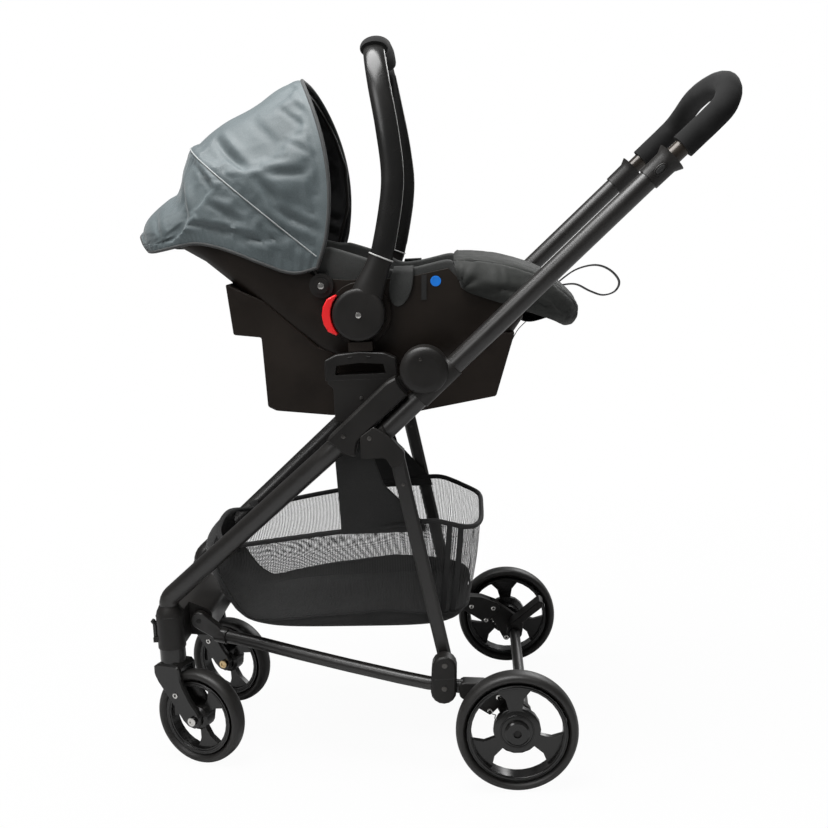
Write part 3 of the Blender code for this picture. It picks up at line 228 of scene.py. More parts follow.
def smoothed(piece, angle):
    """Shade the piece smooth, but for the edges sharper than angle, in degrees."""
    only(piece)
    bpy.ops.object.shade_smooth_by_angle(angle=math.radians(angle))


def eased(node, material, edge=0.0006, angle=38.0):
    """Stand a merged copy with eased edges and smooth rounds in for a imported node."""
    piece = bpy.data.objects.new(node + "_eased", frame["nodes"][node].data.copy())
    bpy.context.scene.collection.objects.link(piece)
    opened(piece)
    bpy.ops.mesh.remove_doubles(threshold=0.00001)
    bpy.ops.mesh.dissolve_limited(angle_limit=math.radians(FLAT_ANGLE))
    bpy.ops.object.mode_set(mode="OBJECT")
    piece.data.materials.clear()
    if edge:
        bevelled(piece, edge, angle)
    smoothed(piece, 48 if edge else angle)
    modified(piece, "WEIGHTED_NORMAL", keep_sharp=True)
    piece.data.materials.append(material)
    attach(piece, body_of[node])
    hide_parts(node)
    return piece


black_paint = grained("satin_black_paint", (0.0075, 0.0066, 0.0058), 0.36, 420, 0.000003,
                      (0.0058, 0.005, 0.0044), (0.0098, 0.0086, 0.0076), (0.34, 0.41), shine=0.58)
for side in ("l", "r"):
    eased("front_leg_" + side, black_paint, 0.0)

# Front cross member and caster housings: glass-filled nylon with a fine sparked texture, moulded in
# two halves that meet on a seam round the housing.
nylon = grained("black_nylon", (0.01, 0.0092, 0.0084), 0.45, 700, 0.00002,
                (0.0075, 0.0068, 0.0062), (0.013, 0.0118, 0.0108), (0.38, 0.52), shine=0.3)
SWIVEL_X = 0.127
REAR_AXLE_Y = 0.567
HOUSING_SEAM = 0.02305
HEAD_RING, HEAD_FLAT = 0.22, 0.78
HEAD_DOME, HEAD_CROWN, HEAD_SINK = 0.22, 0.05, 0.7
eased("front_cross_member", nylon, 0.001)
axle_low, axle_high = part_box("rear_tyre_l")
CASTER_Y = (axle_low.y + axle_high.y) / 2 - REAR_AXLE_Y


def at(x, y, z):
    """A point by its place across, its distance behind the caster axes and its height."""
    return Vector((x, y + CASTER_Y, z))


def spots(sign, *points):
    """Points given for the left side, or with sign -1 their mirror images on the right."""
    return [at(sign * x, y, z) for x, y, z in points]


def bead(name, points, radius, body, material, closed=False, sides=3, steps=6):
    """A round cord, seam or bar drawn along a smooth curve, then made a mesh."""
    line = fresh(name, bpy.ops.curve.primitive_bezier_curve_add)
    spline = line.data.splines[0]
    spline.bezier_points.add(len(points) - 2)
    for knot, point in zip(spline.bezier_points, points):
        knot.co = point
        knot.handle_left_type = "AUTO"
        knot.handle_right_type = "AUTO"
    spline.use_cyclic_u = closed
    line.data.resolution_u = steps
    line.data.bevel_depth = radius
    line.data.bevel_resolution = sides
    line.data.use_fill_caps = True
    only(line)
    bpy.ops.object.convert(target="MESH")
    line = bpy.context.object
    smoothed(line, 50)
    line.data.materials.append(material)
    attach(line, body)
    return line


def top_faces(piece):
    """Open the piece for editing with only the faces that look up selected."""
    bpy.ops.object.mode_set(mode="EDIT")
    bpy.ops.mesh.select_mode(type="FACE")
    bpy.ops.mesh.select_all(action="DESELECT")
    work = bmesh.from_edit_mesh(piece.data)
    for face in work.faces:
        face.select = face.normal.z > 0.9
    bmesh.update_edit_mesh(piece.data)


def placed(piece, centre, direction):
    """Move the piece to centre, turn its own z along direction, and apply both."""
    piece.location = centre
    piece.rotation_euler = Vector(direction).to_track_quat("Z", "Y").to_euler()
    only(piece)
    bpy.ops.object.transform_apply(location=True, rotation=True, scale=True)


def head(name, centre, direction, radius, height, body, material, recess=0.45, sides=24, hollow_shade=None):
    """A rivet or bolt head: a disc, its face domed by an inset and sunk again in the middle. A darker second
    material in the sunk middle is painted shade for a deep hollow.
    """
    piece = fresh(name, bpy.ops.mesh.primitive_cylinder_add, vertices=sides, radius=radius, depth=height)
    top_faces(piece)
    bpy.ops.mesh.inset(thickness=radius * HEAD_RING)
    bpy.ops.transform.translate(value=(0, 0, height * HEAD_DOME))
    bpy.ops.mesh.inset(thickness=radius * (HEAD_FLAT - recess))
    bpy.ops.transform.translate(value=(0, 0, height * HEAD_CROWN))
    bpy.ops.mesh.extrude_region_move(TRANSFORM_OT_translate={"value": (0, 0, -height * HEAD_SINK)})
    work = bmesh.from_edit_mesh(piece.data)
    for face in work.faces:
        face.material_index = int(face.select)
    bmesh.update_edit_mesh(piece.data)
    bpy.ops.object.mode_set(mode="OBJECT")
    placed(piece, centre, direction)
    smoothed(piece, 30)
    piece.data.materials.append(material)
    # When a darker second material is given, the sunk middle takes it as painted shade down a hollow rivet's
    # bore.
    piece.data.materials.append(hollow_shade or material)
    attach(piece, body)


for sign, side in SIDES:
    eased("caster_housing_" + side, nylon, 0.0006)
    ring = []
    for k in range(16):
        angle = 2 * math.pi * k / 16
        across, behind = HOUSING_SEAM * math.cos(angle), HOUSING_SEAM * math.sin(angle)
        ring.append(at(sign * SWIVEL_X + across, behind, 0.2515))
    bead("housing_seam_" + side, ring, 0.0005, "frame", nylon, closed=True, sides=2, steps=4)

# Swivel locks: small polished levers hinged on the housings, with a pale moulded tip.
polished = grained("polished_black_moulding", (0.009, 0.009, 0.009), 0.2, 160, 0.00001,
                   (0.007, 0.007, 0.0068), (0.012, 0.0115, 0.011), (0.17, 0.27), shine=0.45)
pale = grained("pale_grey_moulding", (0.42, 0.42, 0.41), 0.4, 900, 0.00004,
               (0.36, 0.36, 0.35), (0.46, 0.46, 0.45), (0.35, 0.5))
for sign, side in SIDES:
    eased("swivel_lock_" + side, polished, 0.0004)
    x = sign * SWIVEL_X
    tip = [at(x - 0.0052, -0.0306, 0.2418), at(x, -0.031, 0.2421), at(x + 0.0052, -0.0306, 0.2418)]
    bead("swivel_lock_tip_" + side, tip, 0.0011, body_of["swivel_lock_" + side], pale)

# Front forks: gloss nylon, with a hollow steel rivet high on each cheek and the axle bolt's head at
# the bottom, bright on one side and brass coloured on the other.
steel = grained("bright_steel", (0.62, 0.61, 0.59), 0.22, 500, 0.00002,
                (0.55, 0.54, 0.52), (0.68, 0.67, 0.65), (0.16, 0.3), metallic=1.0)
brass = grained("brass_plate", (0.6, 0.45, 0.24), 0.25, 500, 0.00002,
                (0.52, 0.38, 0.2), (0.66, 0.5, 0.28), (0.18, 0.32), metallic=1.0)
FRONT_RADIUS = 0.08
CASTER_TURN = -0.39
TRAIL = 0.048
cheek = Vector((math.cos(CASTER_TURN), math.sin(CASTER_TURN), 0))
ahead = Vector((-math.sin(CASTER_TURN), math.cos(CASTER_TURN), 0))
for sign, side in SIDES:
    eased("front_fork_" + side, polished, 0.003)
    swivel = at(sign * SWIVEL_X, 0, 0)
    for face in (1, -1):
        end = "_%s_%d" % (side, face > 0)
        out = cheek * face
        rivet_at = swivel + ahead * 0.0165 + out * 0.025 + Vector((0, 0, 0.1205))
        # The rivet's sunk middle is coloured dark nylon: painted shade for its deep hollow, which is modelled
        # shallow.
        head("fork_rivet" + end, rivet_at, out, 0.0048, 0.0018, "caster_" + side, steel, 0.5, hollow_shade=nylon)
        bolt_at = swivel + ahead * TRAIL + out * 0.0282 + Vector((0, 0, FRONT_RADIUS))
        metal = steel if face == sign else brass
        head("axle_bolt" + end, bolt_at, out, 0.0074, 0.0022, "caster_" + side, metal, 0.5)

# Tyres: foamed rubber rings stretched on the rims, semi-gloss from the mould, with a parting ridge
# round the tread.
rubber = grained("tyre_rubber", (0.013, 0.0122, 0.0115), 0.46, 260, 0.00004,
                 (0.01, 0.0092, 0.0086), (0.017, 0.016, 0.015), (0.4, 0.52), 30, shine=0.42)
REAR_RADIUS = 0.095
REAR_HALF_TRACK = 0.27
TYRE_DEPTH = 0.017
SQUARE = 2.6
SEATED = 0.8


def tyre(name, centre, turn, radius, width, body, node):
    """A ring pressed to a squarer section, narrower where it sits in the rim."""
    thick = TYRE_DEPTH / 2
    middle = radius - thick
    piece = fresh(name, bpy.ops.mesh.primitive_torus_add, major_segments=96, minor_segments=28,
                  major_radius=middle, minor_radius=thick)
    for point in piece.data.vertices:
        far = math.hypot(point.co.x, point.co.y)
        p = (far - middle) / thick
        q = point.co.z / thick
        r = (abs(p) ** SQUARE + abs(q) ** SQUARE) ** (1 / SQUARE) or 1.0
        p, q = p / r, q / r
        if p > 0.9 and abs(q) < 0.12:
            p += 0.03
        grow = (middle + min(p, 1.0) * thick) / far
        point.co.x *= grow
        point.co.y *= grow
        point.co.z = q * width / 2 * (1.0 if p > -0.3 else SEATED)
    piece.rotation_euler = (0, math.radians(90), turn)
    piece.location = centre
    only(piece)
    bpy.ops.object.transform_apply(location=True, rotation=True, scale=True)
    bpy.ops.object.shade_smooth()
    piece.data.materials.append(rubber)
    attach(piece, body)
    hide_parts(node)


def lip(name, centre, axis, radius, out, thick, body):
    """A polished rolled edge on the side of a rim or hub."""
    piece = fresh(name, bpy.ops.mesh.primitive_torus_add, major_segments=72, minor_segments=12,
                  major_radius=radius, minor_radius=thick)
    bpy.ops.transform.resize(value=(1, 1, 0.75))
    placed(piece, Vector(centre) + Vector(axis) * out, axis)
    bpy.ops.object.shade_smooth()
    piece.data.materials.append(polished)
    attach(piece, body)


for sign, side in SIDES:
    wheel = "front_wheel_" + side
    hub = at(sign * SWIVEL_X, 0, FRONT_RADIUS) + ahead * TRAIL
    tyre("front_tyre_round_" + side, hub, CASTER_TURN, FRONT_RADIUS, 0.03, wheel, "front_tyre_" + side)
    eased("front_rim_" + side, polished, 0.001)
    for face in (1, -1):
        lip("front_rim_lip_%s_%d" % (side, face > 0), hub, cheek * face, 0.0585, 0.0108, 0.0022, wheel)
    wheel = "rear_wheel_" + side
    hub = at(sign * REAR_HALF_TRACK, REAR_AXLE_Y, REAR_RADIUS)
    tyre("rear_tyre_round_" + side, hub, 0.0, REAR_RADIUS, 0.035, wheel, "rear_tyre_" + side)
    eased("rear_rim_" + side, polished, 0.0014)
    for face in (1, -1):
        lip("rear_rim_lip_%s_%d" % (side, face > 0), hub, (face, 0, 0), 0.0742, 0.0135, 0.0024, wheel)
    lip("rear_hub_step_" + side, hub, (sign, 0, 0), 0.0255, 0.0068, 0.0014, wheel)

# Leg casings and seat adapters: nylon mouldings screwed together round the leg tops, with small
# rivets low on the casing and a screw under the adapter's arched grip.
dark_steel = grained("blackened_steel", (0.09, 0.085, 0.08), 0.32, 500, 0.00003,
                     (0.07, 0.066, 0.062), (0.12, 0.115, 0.11), (0.25, 0.4), metallic=1.0)
ADAPTER_Y = 0.347
for sign, side in SIDES:
    out = (sign, 0, 0)
    eased("leg_casing_" + side, nylon, 0.004)
    eased("seat_adapter_" + side, nylon, 0.0022)
    head("casing_rivet_" + side, at(sign * 0.2308, 0.32, 0.56), out, 0.0036, 0.0012, "frame", dark_steel)
    head("adapter_screw_" + side, at(sign * 0.1895, ADAPTER_Y, 0.612), out, 0.003, 0.001, "frame", dark_steel)
    for k in (-1, 1):
        rib = spots(sign, (0.1893, ADAPTER_Y + 0.011 * k, 0.6765), (0.1893, ADAPTER_Y + 0.017 * k, 0.6755))
        bead("adapter_rib_%s_%d" % (side, k > 0), rib, 0.0012, "frame", nylon)

# Fold hubs, push tubes and lever brackets: the knuckle clamps the steel tube, and the tube's lower
# end is the lever that folds the rear leg.
TUBE_X = 0.2125
TILT = math.radians(41.4)
for sign, side in SIDES:
    out = (sign, 0, 0)
    eased("fold_hub_" + side, nylon, 0.003)
    sleeve = fresh("hub_sleeve_" + side, bpy.ops.mesh.primitive_cylinder_add, vertices=48, radius=0.0174,
                   depth=0.074)
    bevelled(sleeve, 0.001, 40)
    placed(sleeve, at(sign * TUBE_X, 0.4659, 0.6358), (0, math.cos(TILT), math.sin(TILT)))
    smoothed(sleeve, 40)
    sleeve.data.materials.append(nylon)
    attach(sleeve, "push_handle")
    eased("push_tube_" + side, black_paint, 0.0)
    eased("lever_bracket_" + side, nylon, 0.001)
    head("hub_rivet_" + side, at(sign * 0.2385, 0.444, 0.674), out, 0.0026, 0.0012, "push_handle", dark_steel)
    head("bracket_rivet_" + side, at(sign * 0.235, 0.36, 0.556), out, 0.0034, 0.0012, "push_handle",
         dark_steel)

# Telescope collars: nylon sleeves on the tube ends, each with a rubber-covered push button, and the
# grey inner tube of the handle bow sliding in them.
inner_steel = grained("grey_black_enamel", (0.03, 0.024, 0.019), 0.24, 420, 0.000006,
                      (0.024, 0.019, 0.015), (0.04, 0.032, 0.025), (0.2, 0.3), metallic=0.35)
soft_rubber = grained("button_rubber", (0.02, 0.02, 0.02), 0.55, 700, 0.00003,
                      (0.016, 0.016, 0.016), (0.026, 0.026, 0.026), (0.5, 0.62), shine=0.3)
for side in ("l", "r"):
    eased("telescope_collar_" + side, nylon, 0.0008)
    eased("telescope_button_" + side, soft_rubber, 0.0006)
eased("handle_loop", inner_steel, 0.0)

# Handle grip: closed-cell foam tube pushed over the bow, matt dark grey, slightly pitted.
foam = grained("grip_foam", (0.012, 0.012, 0.012), 0.92, 420, 0.0003,
               (0.0085, 0.0085, 0.0085), (0.0155, 0.0155, 0.0155), (0.86, 0.96), 40, sheen=0.02, shine=0.2)
HUB_Y, HUB_Z = 0.448, 0.656
TUBE_BELOW = 0.027


def on_tube(x, s):
    """A point on the push tube's axis, s along it from the fold hub."""
    along, up = math.cos(TILT), math.sin(TILT)
    return at(x, HUB_Y + s * along + TUBE_BELOW * up, HUB_Z + s * up - TUBE_BELOW * along)


half = [on_tube(TUBE_X, 0.503), on_tube(TUBE_X, 0.53), on_tube(0.2122, 0.56)]
half += spots(1, (0.2085, 0.903, 1.0225), (0.19, 0.915, 1.04), (0.155, 0.9225, 1.056),
              (0.1, 0.927, 1.066), (0.0, 0.928, 1.07))
run = half + [Vector((-p.x, p.y, p.z)) for p in half[-2::-1]]
grip = bead("handle_grip_foam", run, 0.0193, body_of["handle_grip"], foam, sides=7, steps=8)
bevelled(grip, 0.0035, 60, 3)
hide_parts("handle_grip")

# Rear legs and rails: sprayed steel, riveted, with the oval rail brackets moulded in nylon.
LEG_TOP = (0.396, 0.524)
LEG_FOOT = (0.4575, 0.186)
down = Vector((0, LEG_FOOT[0] - LEG_TOP[0], LEG_FOOT[1] - LEG_TOP[1])).normalized()
for sign, side in SIDES:
    out = Vector((sign, 0, 0))
    bracket = body_of["rail_bracket_" + side]
    eased("rear_leg_" + side, black_paint, 0.001)
    eased("side_rail_" + side, black_paint, 0.0)
    eased("rail_bracket_" + side, nylon, 0.001)
    for k, (y, z) in enumerate(((0.458, 0.186), (0.456, 0.148))):
        head("rail_rivet_%s_%d" % (side, k), at(sign * 0.2283, y, z), out, 0.0044, 0.0012, bracket,
             dark_steel)
    seam = spots(sign, (0.2281, 0.437, 0.163), (0.2283, 0.456, 0.1635), (0.2281, 0.475, 0.164))
    bead("rail_bracket_seam_" + side, seam, 0.0005, bracket, nylon, sides=2)
    top = at(sign * 0.1953, *LEG_TOP)
    head("leg_rivet_" + side, top + down * 0.052, out, 0.0028, 0.001, "rear_legs", dark_steel)
    head("leg_rivet_back_" + side, top + down * 0.026 - out * 0.0165, -out, 0.0028, 0.001, "rear_legs",
         dark_steel)

# Rear suspension: bracket and swing arm in nylon with hollow steel rivets, and a tension spring of
# hard wire between them.
for sign, side in SIDES:
    eased("suspension_bracket_" + side, nylon, 0.001)
    eased("swing_arm_" + side, nylon, 0.001)
    eased("suspension_spring_" + side, steel, 0.0, 60)
    for k, (y, z, x, node) in enumerate((
            (0.499, 0.136, 0.2264, "suspension_bracket_"), (0.541, 0.131, 0.2278, "suspension_bracket_"),
            (0.526, 0.108, 0.2264, "suspension_bracket_"), (0.564, 0.07, 0.2214, "swing_arm_"))):
        back = 0.2037 if node == "swing_arm_" else 0.1987
        for name, across, way in (("arm_rivet_", x, sign), ("arm_rivet_back_", back, -sign)):
            # Each hollow rivet's sunk middle is coloured dark nylon as painted shade down its bore.
            head("%s%s_%d" % (name, side, k), at(sign * across, y, z), (way, 0, 0), 0.0044, 0.0014,
                 body_of[node + side], steel, hollow_shade=nylon)

# Brake: a sprayed cross bar that turns in the arms, with one ribbed nylon pedal.
eased("brake_bar", black_paint, 0.0006)
eased("brake_pedal", nylon, 0.0028)

# Basket: floor and front of black polyester, walls of black raschel net, bound round the top with
# tape. The cloth is one sheet; its front bellies out between the legs.
TUB = [(0.128, 0.484, 0.122, 0.152, 0.227, 0.227), (0.106, 0.497, 0.128, 0.1635, 0.237, 0.238),
       (0.086, 0.508, 0.127, 0.167, 0.27, 0.276), (0.076, 0.519, 0.127, 0.1695, 0.325, 0.342),
       (0.08, 0.526, 0.129, 0.171, 0.352, 0.415)]
CLOTH_UP_TO = 0.3
BASKET_MIDDLE = 0.305
BELLY_OUT, BELLY_UP, HEM_DIP = 0.03, 0.036, 0.03
NET_STATIONS = [0.006, 0.03, 0.06, 0.09, 0.35, 0.65, 1.0]
NET_FEET = [1.0, 0.66, 0.3, 0.24, 0.34, 0.4, 0.3]


def shaped_sheet(name, across, along, place, flip=False):
    """A grid whose points are moved to place(u, v), u and v from 0 to 1, with meeting edges merged."""
    piece = fresh(name, bpy.ops.mesh.primitive_grid_add, x_subdivisions=across, y_subdivisions=along, size=1)
    for point in piece.data.vertices:
        point.co = place(point.co.x + 0.5, point.co.y + 0.5)
    opened(piece)
    bpy.ops.mesh.remove_doubles(threshold=0.00002)
    if flip:
        bpy.ops.mesh.flip_normals()
    bpy.ops.object.mode_set(mode="OBJECT")
    bpy.ops.object.shade_smooth()
    return piece


def thickened(piece, thickness, offset=0.0, **more):
    """Give a sheet its thickness."""
    modified(piece, "SOLIDIFY", thickness=thickness, offset=offset, **more)


def clamped(x):
    """x, held between 0 and 1."""
    return min(max(x, 0.0), 1.0)


def between(rows, t):
    """Values read off a smooth curve through the rows, t from 0 at the first to 1 at the last."""
    s = clamped(t) * (len(rows) - 1)
    i = min(int(s), len(rows) - 2)
    f = s - i
    four = (rows[max(i - 1, 0)], rows[i], rows[i + 1], rows[min(i + 2, len(rows) - 1)])
    return [0.5 * (2 * b + (c - a) * f + (2 * a - 5 * b + 4 * c - d) * f * f
                   + (3 * b - a - 3 * c + d) * f ** 3) for a, b, c, d in zip(*four)]


def read(x, stations, values):
    """The value at x, read off straight lines between the stations."""
    return float(np.interp(x, stations, values))


def bell(x, width):
    """1 at x = 0, and falling away smoothly over about width on both sides."""
    return math.exp(-(x / width) ** 2)


def wobble(x, y, z):
    """Smooth noise about 0, the same at the same place."""
    return noise.noise(Vector((x, y, z)))


def walked(xs, wide, ys, deep):
    """How far along a run each of its points lies, from 0 to 1, in a box of these two sizes."""
    far = np.concatenate([[0.0], np.cumsum(np.hypot(np.diff(xs) * wide, np.diff(ys) * deep))])
    return far / far[-1]


def pressed(wave, power):
    """A sine or cosine pressed outward, so that a round run turns squarer."""
    return np.copysign(np.abs(wave) ** power, wave)


ROUND = np.linspace(0.0, 2 * math.pi, 4001)
ALONG = 0.5 - 0.5 * pressed(np.cos(ROUND), 0.42)
ACROSS = -pressed(np.sin(ROUND), 0.42)
WALKED = walked(ALONG, 0.42, ACROSS, 0.155)
NET_FROM = read(NET_STATIONS[0], ALONG[:2001], WALKED[:2001])


def tub_point(turn, rise):
    """On the tub's wall: turn goes once round from the front's middle, rise from the floor to the hem."""
    front, rear, half_front, half_rear, z_front, z_rear = between(TUB, rise)
    along = read(turn, WALKED, ALONG)
    across = read(turn, WALKED, ACROSS)
    belly = (1 - across ** 2) * max(1 - along / 0.12, 0.0)
    y = front + (rear - front) * along - BELLY_OUT * belly * math.sin(math.pi * min(rise, 1.0) ** 2.2)
    dip = clamped((along - 0.8) / 0.2)
    hem = BELLY_UP * belly - HEM_DIP * dip * dip * (3 - 2 * dip)
    z = z_front + (z_rear - z_front) * along ** 0.6 + hem * rise ** 3
    return at(across * (half_front + (half_rear - half_front) * along ** 0.5), y, z)


def net_foot(turn):
    """How far up the wall the black cloth goes: to the hem in front, a low edge at sides and rear."""
    return read(read(turn, WALKED, ALONG), NET_STATIONS, NET_FEET)


def inward(point):
    """From a wall of the basket to its middle, on the level."""
    return (at(0, BASKET_MIDDLE, point.z) - point).normalized()


def tub_cloth(u, v):
    """The black cloth: its floor up to CLOTH_UP_TO, and from there the wall with its creases."""
    if v < CLOTH_UP_TO:
        t = v / CLOTH_UP_TO
        point = at(0, BASKET_MIDDLE, 0.224).lerp(tub_point(u, 0.0), t)
        point.z += 0.004 * (1 - t) + 0.004 * wobble(point.x * 9, point.y * 22, 1.7) * (1 - t ** 4)
        return point
    rise = (v - CLOTH_UP_TO) / (1 - CLOTH_UP_TO) * net_foot(u)
    point = tub_point(u, rise)
    crease = wobble(point.y * 16, point.x * 16, point.z * 46)
    sunk = 0.0022 * math.sin(math.pi * min(rise * 1.2, 1.0)) * (0.4 + abs(crease) * 2.0)
    return point + inward(point) * sunk


def crossed(vector, axes, pitch, join, **settings):
    """Two sets of thread waves at this pitch, along two axes, joined by their sum or product."""
    tree = vector.id_data
    both = add_node(tree, "Math", operation=join)
    for k, axis in enumerate(axes):
        wave = add_node(tree, "TexWave", bands_direction=axis, Scale=math.pi / 10 / pitch, **settings)
        wire(vector, "Vector", wave, "Vector")
        wire(wave, "Fac", both, k)
    return both


def woven(name, dark, light, pitch, depth, rough, sheen, uv_size=None):
    """Cloth: two crossed thread waves for the bump, heathered colour and soft sheen."""
    material = finish_of(name, dark, rough, sheen=sheen)
    tree = material.node_tree
    shader = tree.nodes["Principled BSDF"]
    where = add_node(tree, "TexCoord")
    sized = add_node(tree, "Mapping")
    if uv_size:
        sized.inputs["Scale"].default_value = (*uv_size, 1.0)
    wire(where, "UV" if uv_size else "Object", sized, "Vector")
    cross = crossed(sized, "XY" if uv_size else "YZ", pitch, "MULTIPLY", Distortion=0.6, Detail_Scale=2.0)
    bump = add_node(tree, "Bump", Strength=0.5, Distance=depth)
    crumple = add_node(tree, "TexNoise", Scale=45.0, Detail=4.0)
    soft = add_node(tree, "Bump", Strength=0.25, Distance=0.004)
    heather = add_node(tree, "TexNoise", Scale=650.0, Detail=2.0)
    slow = add_node(tree, "TexNoise", Scale=9.0)
    scaled = add_node(tree, "Math", operation="MULTIPLY")
    mixed = add_node(tree, "Math", operation="MULTIPLY_ADD")
    scaled.inputs[1].default_value = 0.5
    mixed.inputs[1].default_value = 0.5
    for texture in (crumple, heather, slow):
        wire(where, "Object", texture, "Vector")
    wire(cross, "Value", bump, "Height")
    wire(crumple, "Fac", soft, "Height")
    wire(bump, "Normal", soft, "Normal")
    wire(soft, "Normal", shader, "Normal")
    wire(slow, "Fac", scaled, 0)
    wire(heather, "Fac", mixed, 0)
    wire(scaled, "Value", mixed, 2)
    toned(mixed, "Value", shader, dark, light, 0.36, 0.64)
    return material


black_cloth = woven("black_polyester", (0.008, 0.008, 0.008), (0.016, 0.016, 0.0155), 0.0012, 0.00012,
                    0.85, 0.06, (1.2, 0.35))
tub = shaped_sheet("basket_tub", 150, 44, tub_cloth)
thickened(tub, 0.0016)
tub.data.materials.append(black_cloth)
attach(tub, "frame")
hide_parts("basket")

net = finish_of("basket_net", (0.03, 0.03, 0.03), 0.6)
tree = net.node_tree
shader = tree.nodes["Principled BSDF"]
where = add_node(tree, "TexCoord")
sized = add_node(tree, "Mapping", Scale=(0.75, 0.16, 1.0))
slow = add_node(tree, "TexNoise", Scale=25.0)
thread = add_node(tree, "Math", operation="GREATER_THAN")
thread.inputs[1].default_value = 0.98
wire(where, "UV", sized, "Vector")
wire(crossed(sized, "XY", 0.0017, "ADD"), "Value", thread, 0)
wire(thread, "Value", shader, "Alpha")
wire(where, "Object", slow, "Vector")
toned(slow, "Fac", shader, (0.012, 0.012, 0.012), (0.026, 0.026, 0.0255))


def net_turn(u):
    """The turn round the basket at this share of the net's length."""
    return NET_FROM + u * (1 - 2 * NET_FROM)


def net_wall(u, v):
    """The net, from under the cloth's upper edge to the hem, gathered at the two rear corners."""
    turn = net_turn(u)
    foot_rise = net_foot(turn)
    rise = foot_rise - 0.02 + v * max(0.995 - foot_rise + 0.02, 0.001)
    corner = bell(abs(turn - 0.5) - 0.1, 0.035)
    wave = 0.0016 * math.sin(turn * 90) + 0.0052 * corner * math.sin(turn * 420 + v * 3)
    wave *= math.sin(math.pi * v)
    point = tub_point(turn, rise)
    return point + inward(point) * (0.0008 + abs(wave))


netting = shaped_sheet("basket_net", 220, 16, net_wall)
netting.data.materials.append(net)
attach(netting, "frame")

tape = woven("binding_tape", (0.006, 0.006, 0.006), (0.012, 0.012, 0.012), 0.0016, 0.0002, 0.8, 0.04)


def tape_strip(name, points, width, thick, body, material, across):
    """A flat band along the points, as wide as width in the direction across."""
    def place(u, v):
        here = Vector(between(points, v))
        step = Vector(between(points, min(v + 0.01, 1.0))) - Vector(between(points, max(v - 0.01, 0.0)))
        step.normalize()
        wide = Vector(across)
        wide = (wide - step * wide.dot(step)).normalized()
        return here + wide * (u - 0.5) * width

    piece = shaped_sheet(name, 4, 6 * (len(points) - 1), place)
    thickened(piece, thick)
    smoothed(piece, 40)
    piece.data.materials.append(material)
    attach(piece, body)
    return piece


hem = [tub_point(k / 64, 0.985) for k in range(64)]
bead("basket_hem", hem, 0.0042, "frame", tape, closed=True, sides=4, steps=4)
foot = [tub_point(net_turn(k / 60), net_foot(net_turn(k / 60))) for k in range(61)]
bead("basket_seam", foot, 0.0016, "frame", tape, sides=2, steps=3)
for sign, side in SIDES:
    def hanging(u, v, sign=sign):
        """A side panel between leg and rail, its rear edge slanting forward as it goes up."""
        z = 0.388 + 0.155 * v
        x = read(z, [0.392, 0.41, 0.515, 0.545], [0.164, 0.1655, 0.1874, 0.1874])
        rear = read(z, [0.392, 0.405, 0.47, 0.545], [0.436, 0.432, 0.374, 0.352])
        y = 0.3 + (rear - 0.3) * u
        bow = 0.0012 * wobble(y * 30, z * 22, sign)
        return at(sign * (min(x, 0.1872) - 0.0006 + bow), y, z)

    panel = shaped_sheet("basket_side_" + side, 18, 30, hanging, flip=sign < 0)
    thickened(panel, 0.0018)
    panel.data.materials.append(black_cloth)
    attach(panel, "frame")

    strap = spots(sign, (0.1265, 0.113, 0.37), (0.131, 0.104, 0.368), (0.1382, 0.095, 0.3625))
    tape_strip("basket_strap_" + side, strap, 0.022, 0.002, "frame", tape, (0, 0.3, 1))
    head("strap_snap_" + side, at(sign * 0.1374, 0.096, 0.363), (-sign, 0, 0), 0.006, 0.0016, "frame",
         dark_steel)
for k, along in enumerate((0.885, 0.925)):
    turn = 1.0 - read(along, ALONG[:2001], WALKED[:2001])
    line = [tub_point(turn, 0.34 + 0.128 * j) + Vector((0.0016, 0, 0)) for j in range(6)]
    tape_strip("basket_rib_%d" % k, line, 0.009, 0.0012, "frame", tape, (0, 1, 0))

# Seat shell: blow-moulded polypropylene bucket, warm black, with a leather-like grain. The base
# under it is one moulded skirt with a step at each end.
shell_plastic = grained("seat_polypropylene", (0.011, 0.0075, 0.0052), 0.52, 700, 0.00003,
                        (0.0088, 0.006, 0.0042), (0.015, 0.0108, 0.008), (0.46, 0.6), shine=0.2)
eased("seat_shell", shell_plastic, 0.0012, 42)
eased("seat_base", shell_plastic, 0.0016, 42)
blue = grained("blue_dot", (0.002, 0.2, 0.76), 0.45, 600, 0.00002,
               (0.0015, 0.185, 0.72), (0.003, 0.215, 0.8), (0.4, 0.5))
for sign, side in SIDES:
    out = (sign, 0, 0)
    head("blue_dot_" + side, at(sign * 0.1602, 0.47, 0.786), out, 0.0082, 0.0008, "car_seat", blue, 0.75, 32)
    head("canopy_screw_" + side, at(sign * 0.1693, 0.292, 0.787), out, 0.005, 0.0014, "canopy", steel, 0.4)

# Canopy bow: a thin moulded hoop in the canopy's front hem, turning on a disc at each side.
eased("canopy_bow", nylon, 0.0)

# Canopy: charcoal polyester lined with black, cut in a front and a rear panel joined by a pale piped
# seam, gathered by elastic round the head of the shell.
CANOPY_ROWS = [(0.2885, 0.8155, 0.264, 1.114, 0.168, 0.036), (0.248, 0.809, 0.224, 1.1085, 0.1685, 0.02),
               (0.198, 0.8275, 0.17, 1.076, 0.1675, 0.008), (0.158, 0.845, 0.129, 1.055, 0.1645, 0.0),
               (0.122, 0.857, 0.09, 1.027, 0.159, 0.0), (0.096, 0.861, 0.066, 0.995, 0.153, 0.0),
               (0.074, 0.859, 0.0575, 0.954, 0.146, 0.0), (0.045, 0.854, 0.031, 0.94, 0.133, 0.0),
               (0.015, 0.85, -0.006, 0.909, 0.11, 0.0), (0.0, 0.855, -0.0158, 0.88, 0.075, 0.0)]
CANOPY_ROUND, CANOPY_DEEP = 0.62, 0.36
SEAM_TOP = (0.0746, 1.019)
SEAM_RUN = (0.215, 0.188)
SEAM_BEFORE = 0.62
SEAM_STEPS = 96
CLOTH_FRAMES = 24


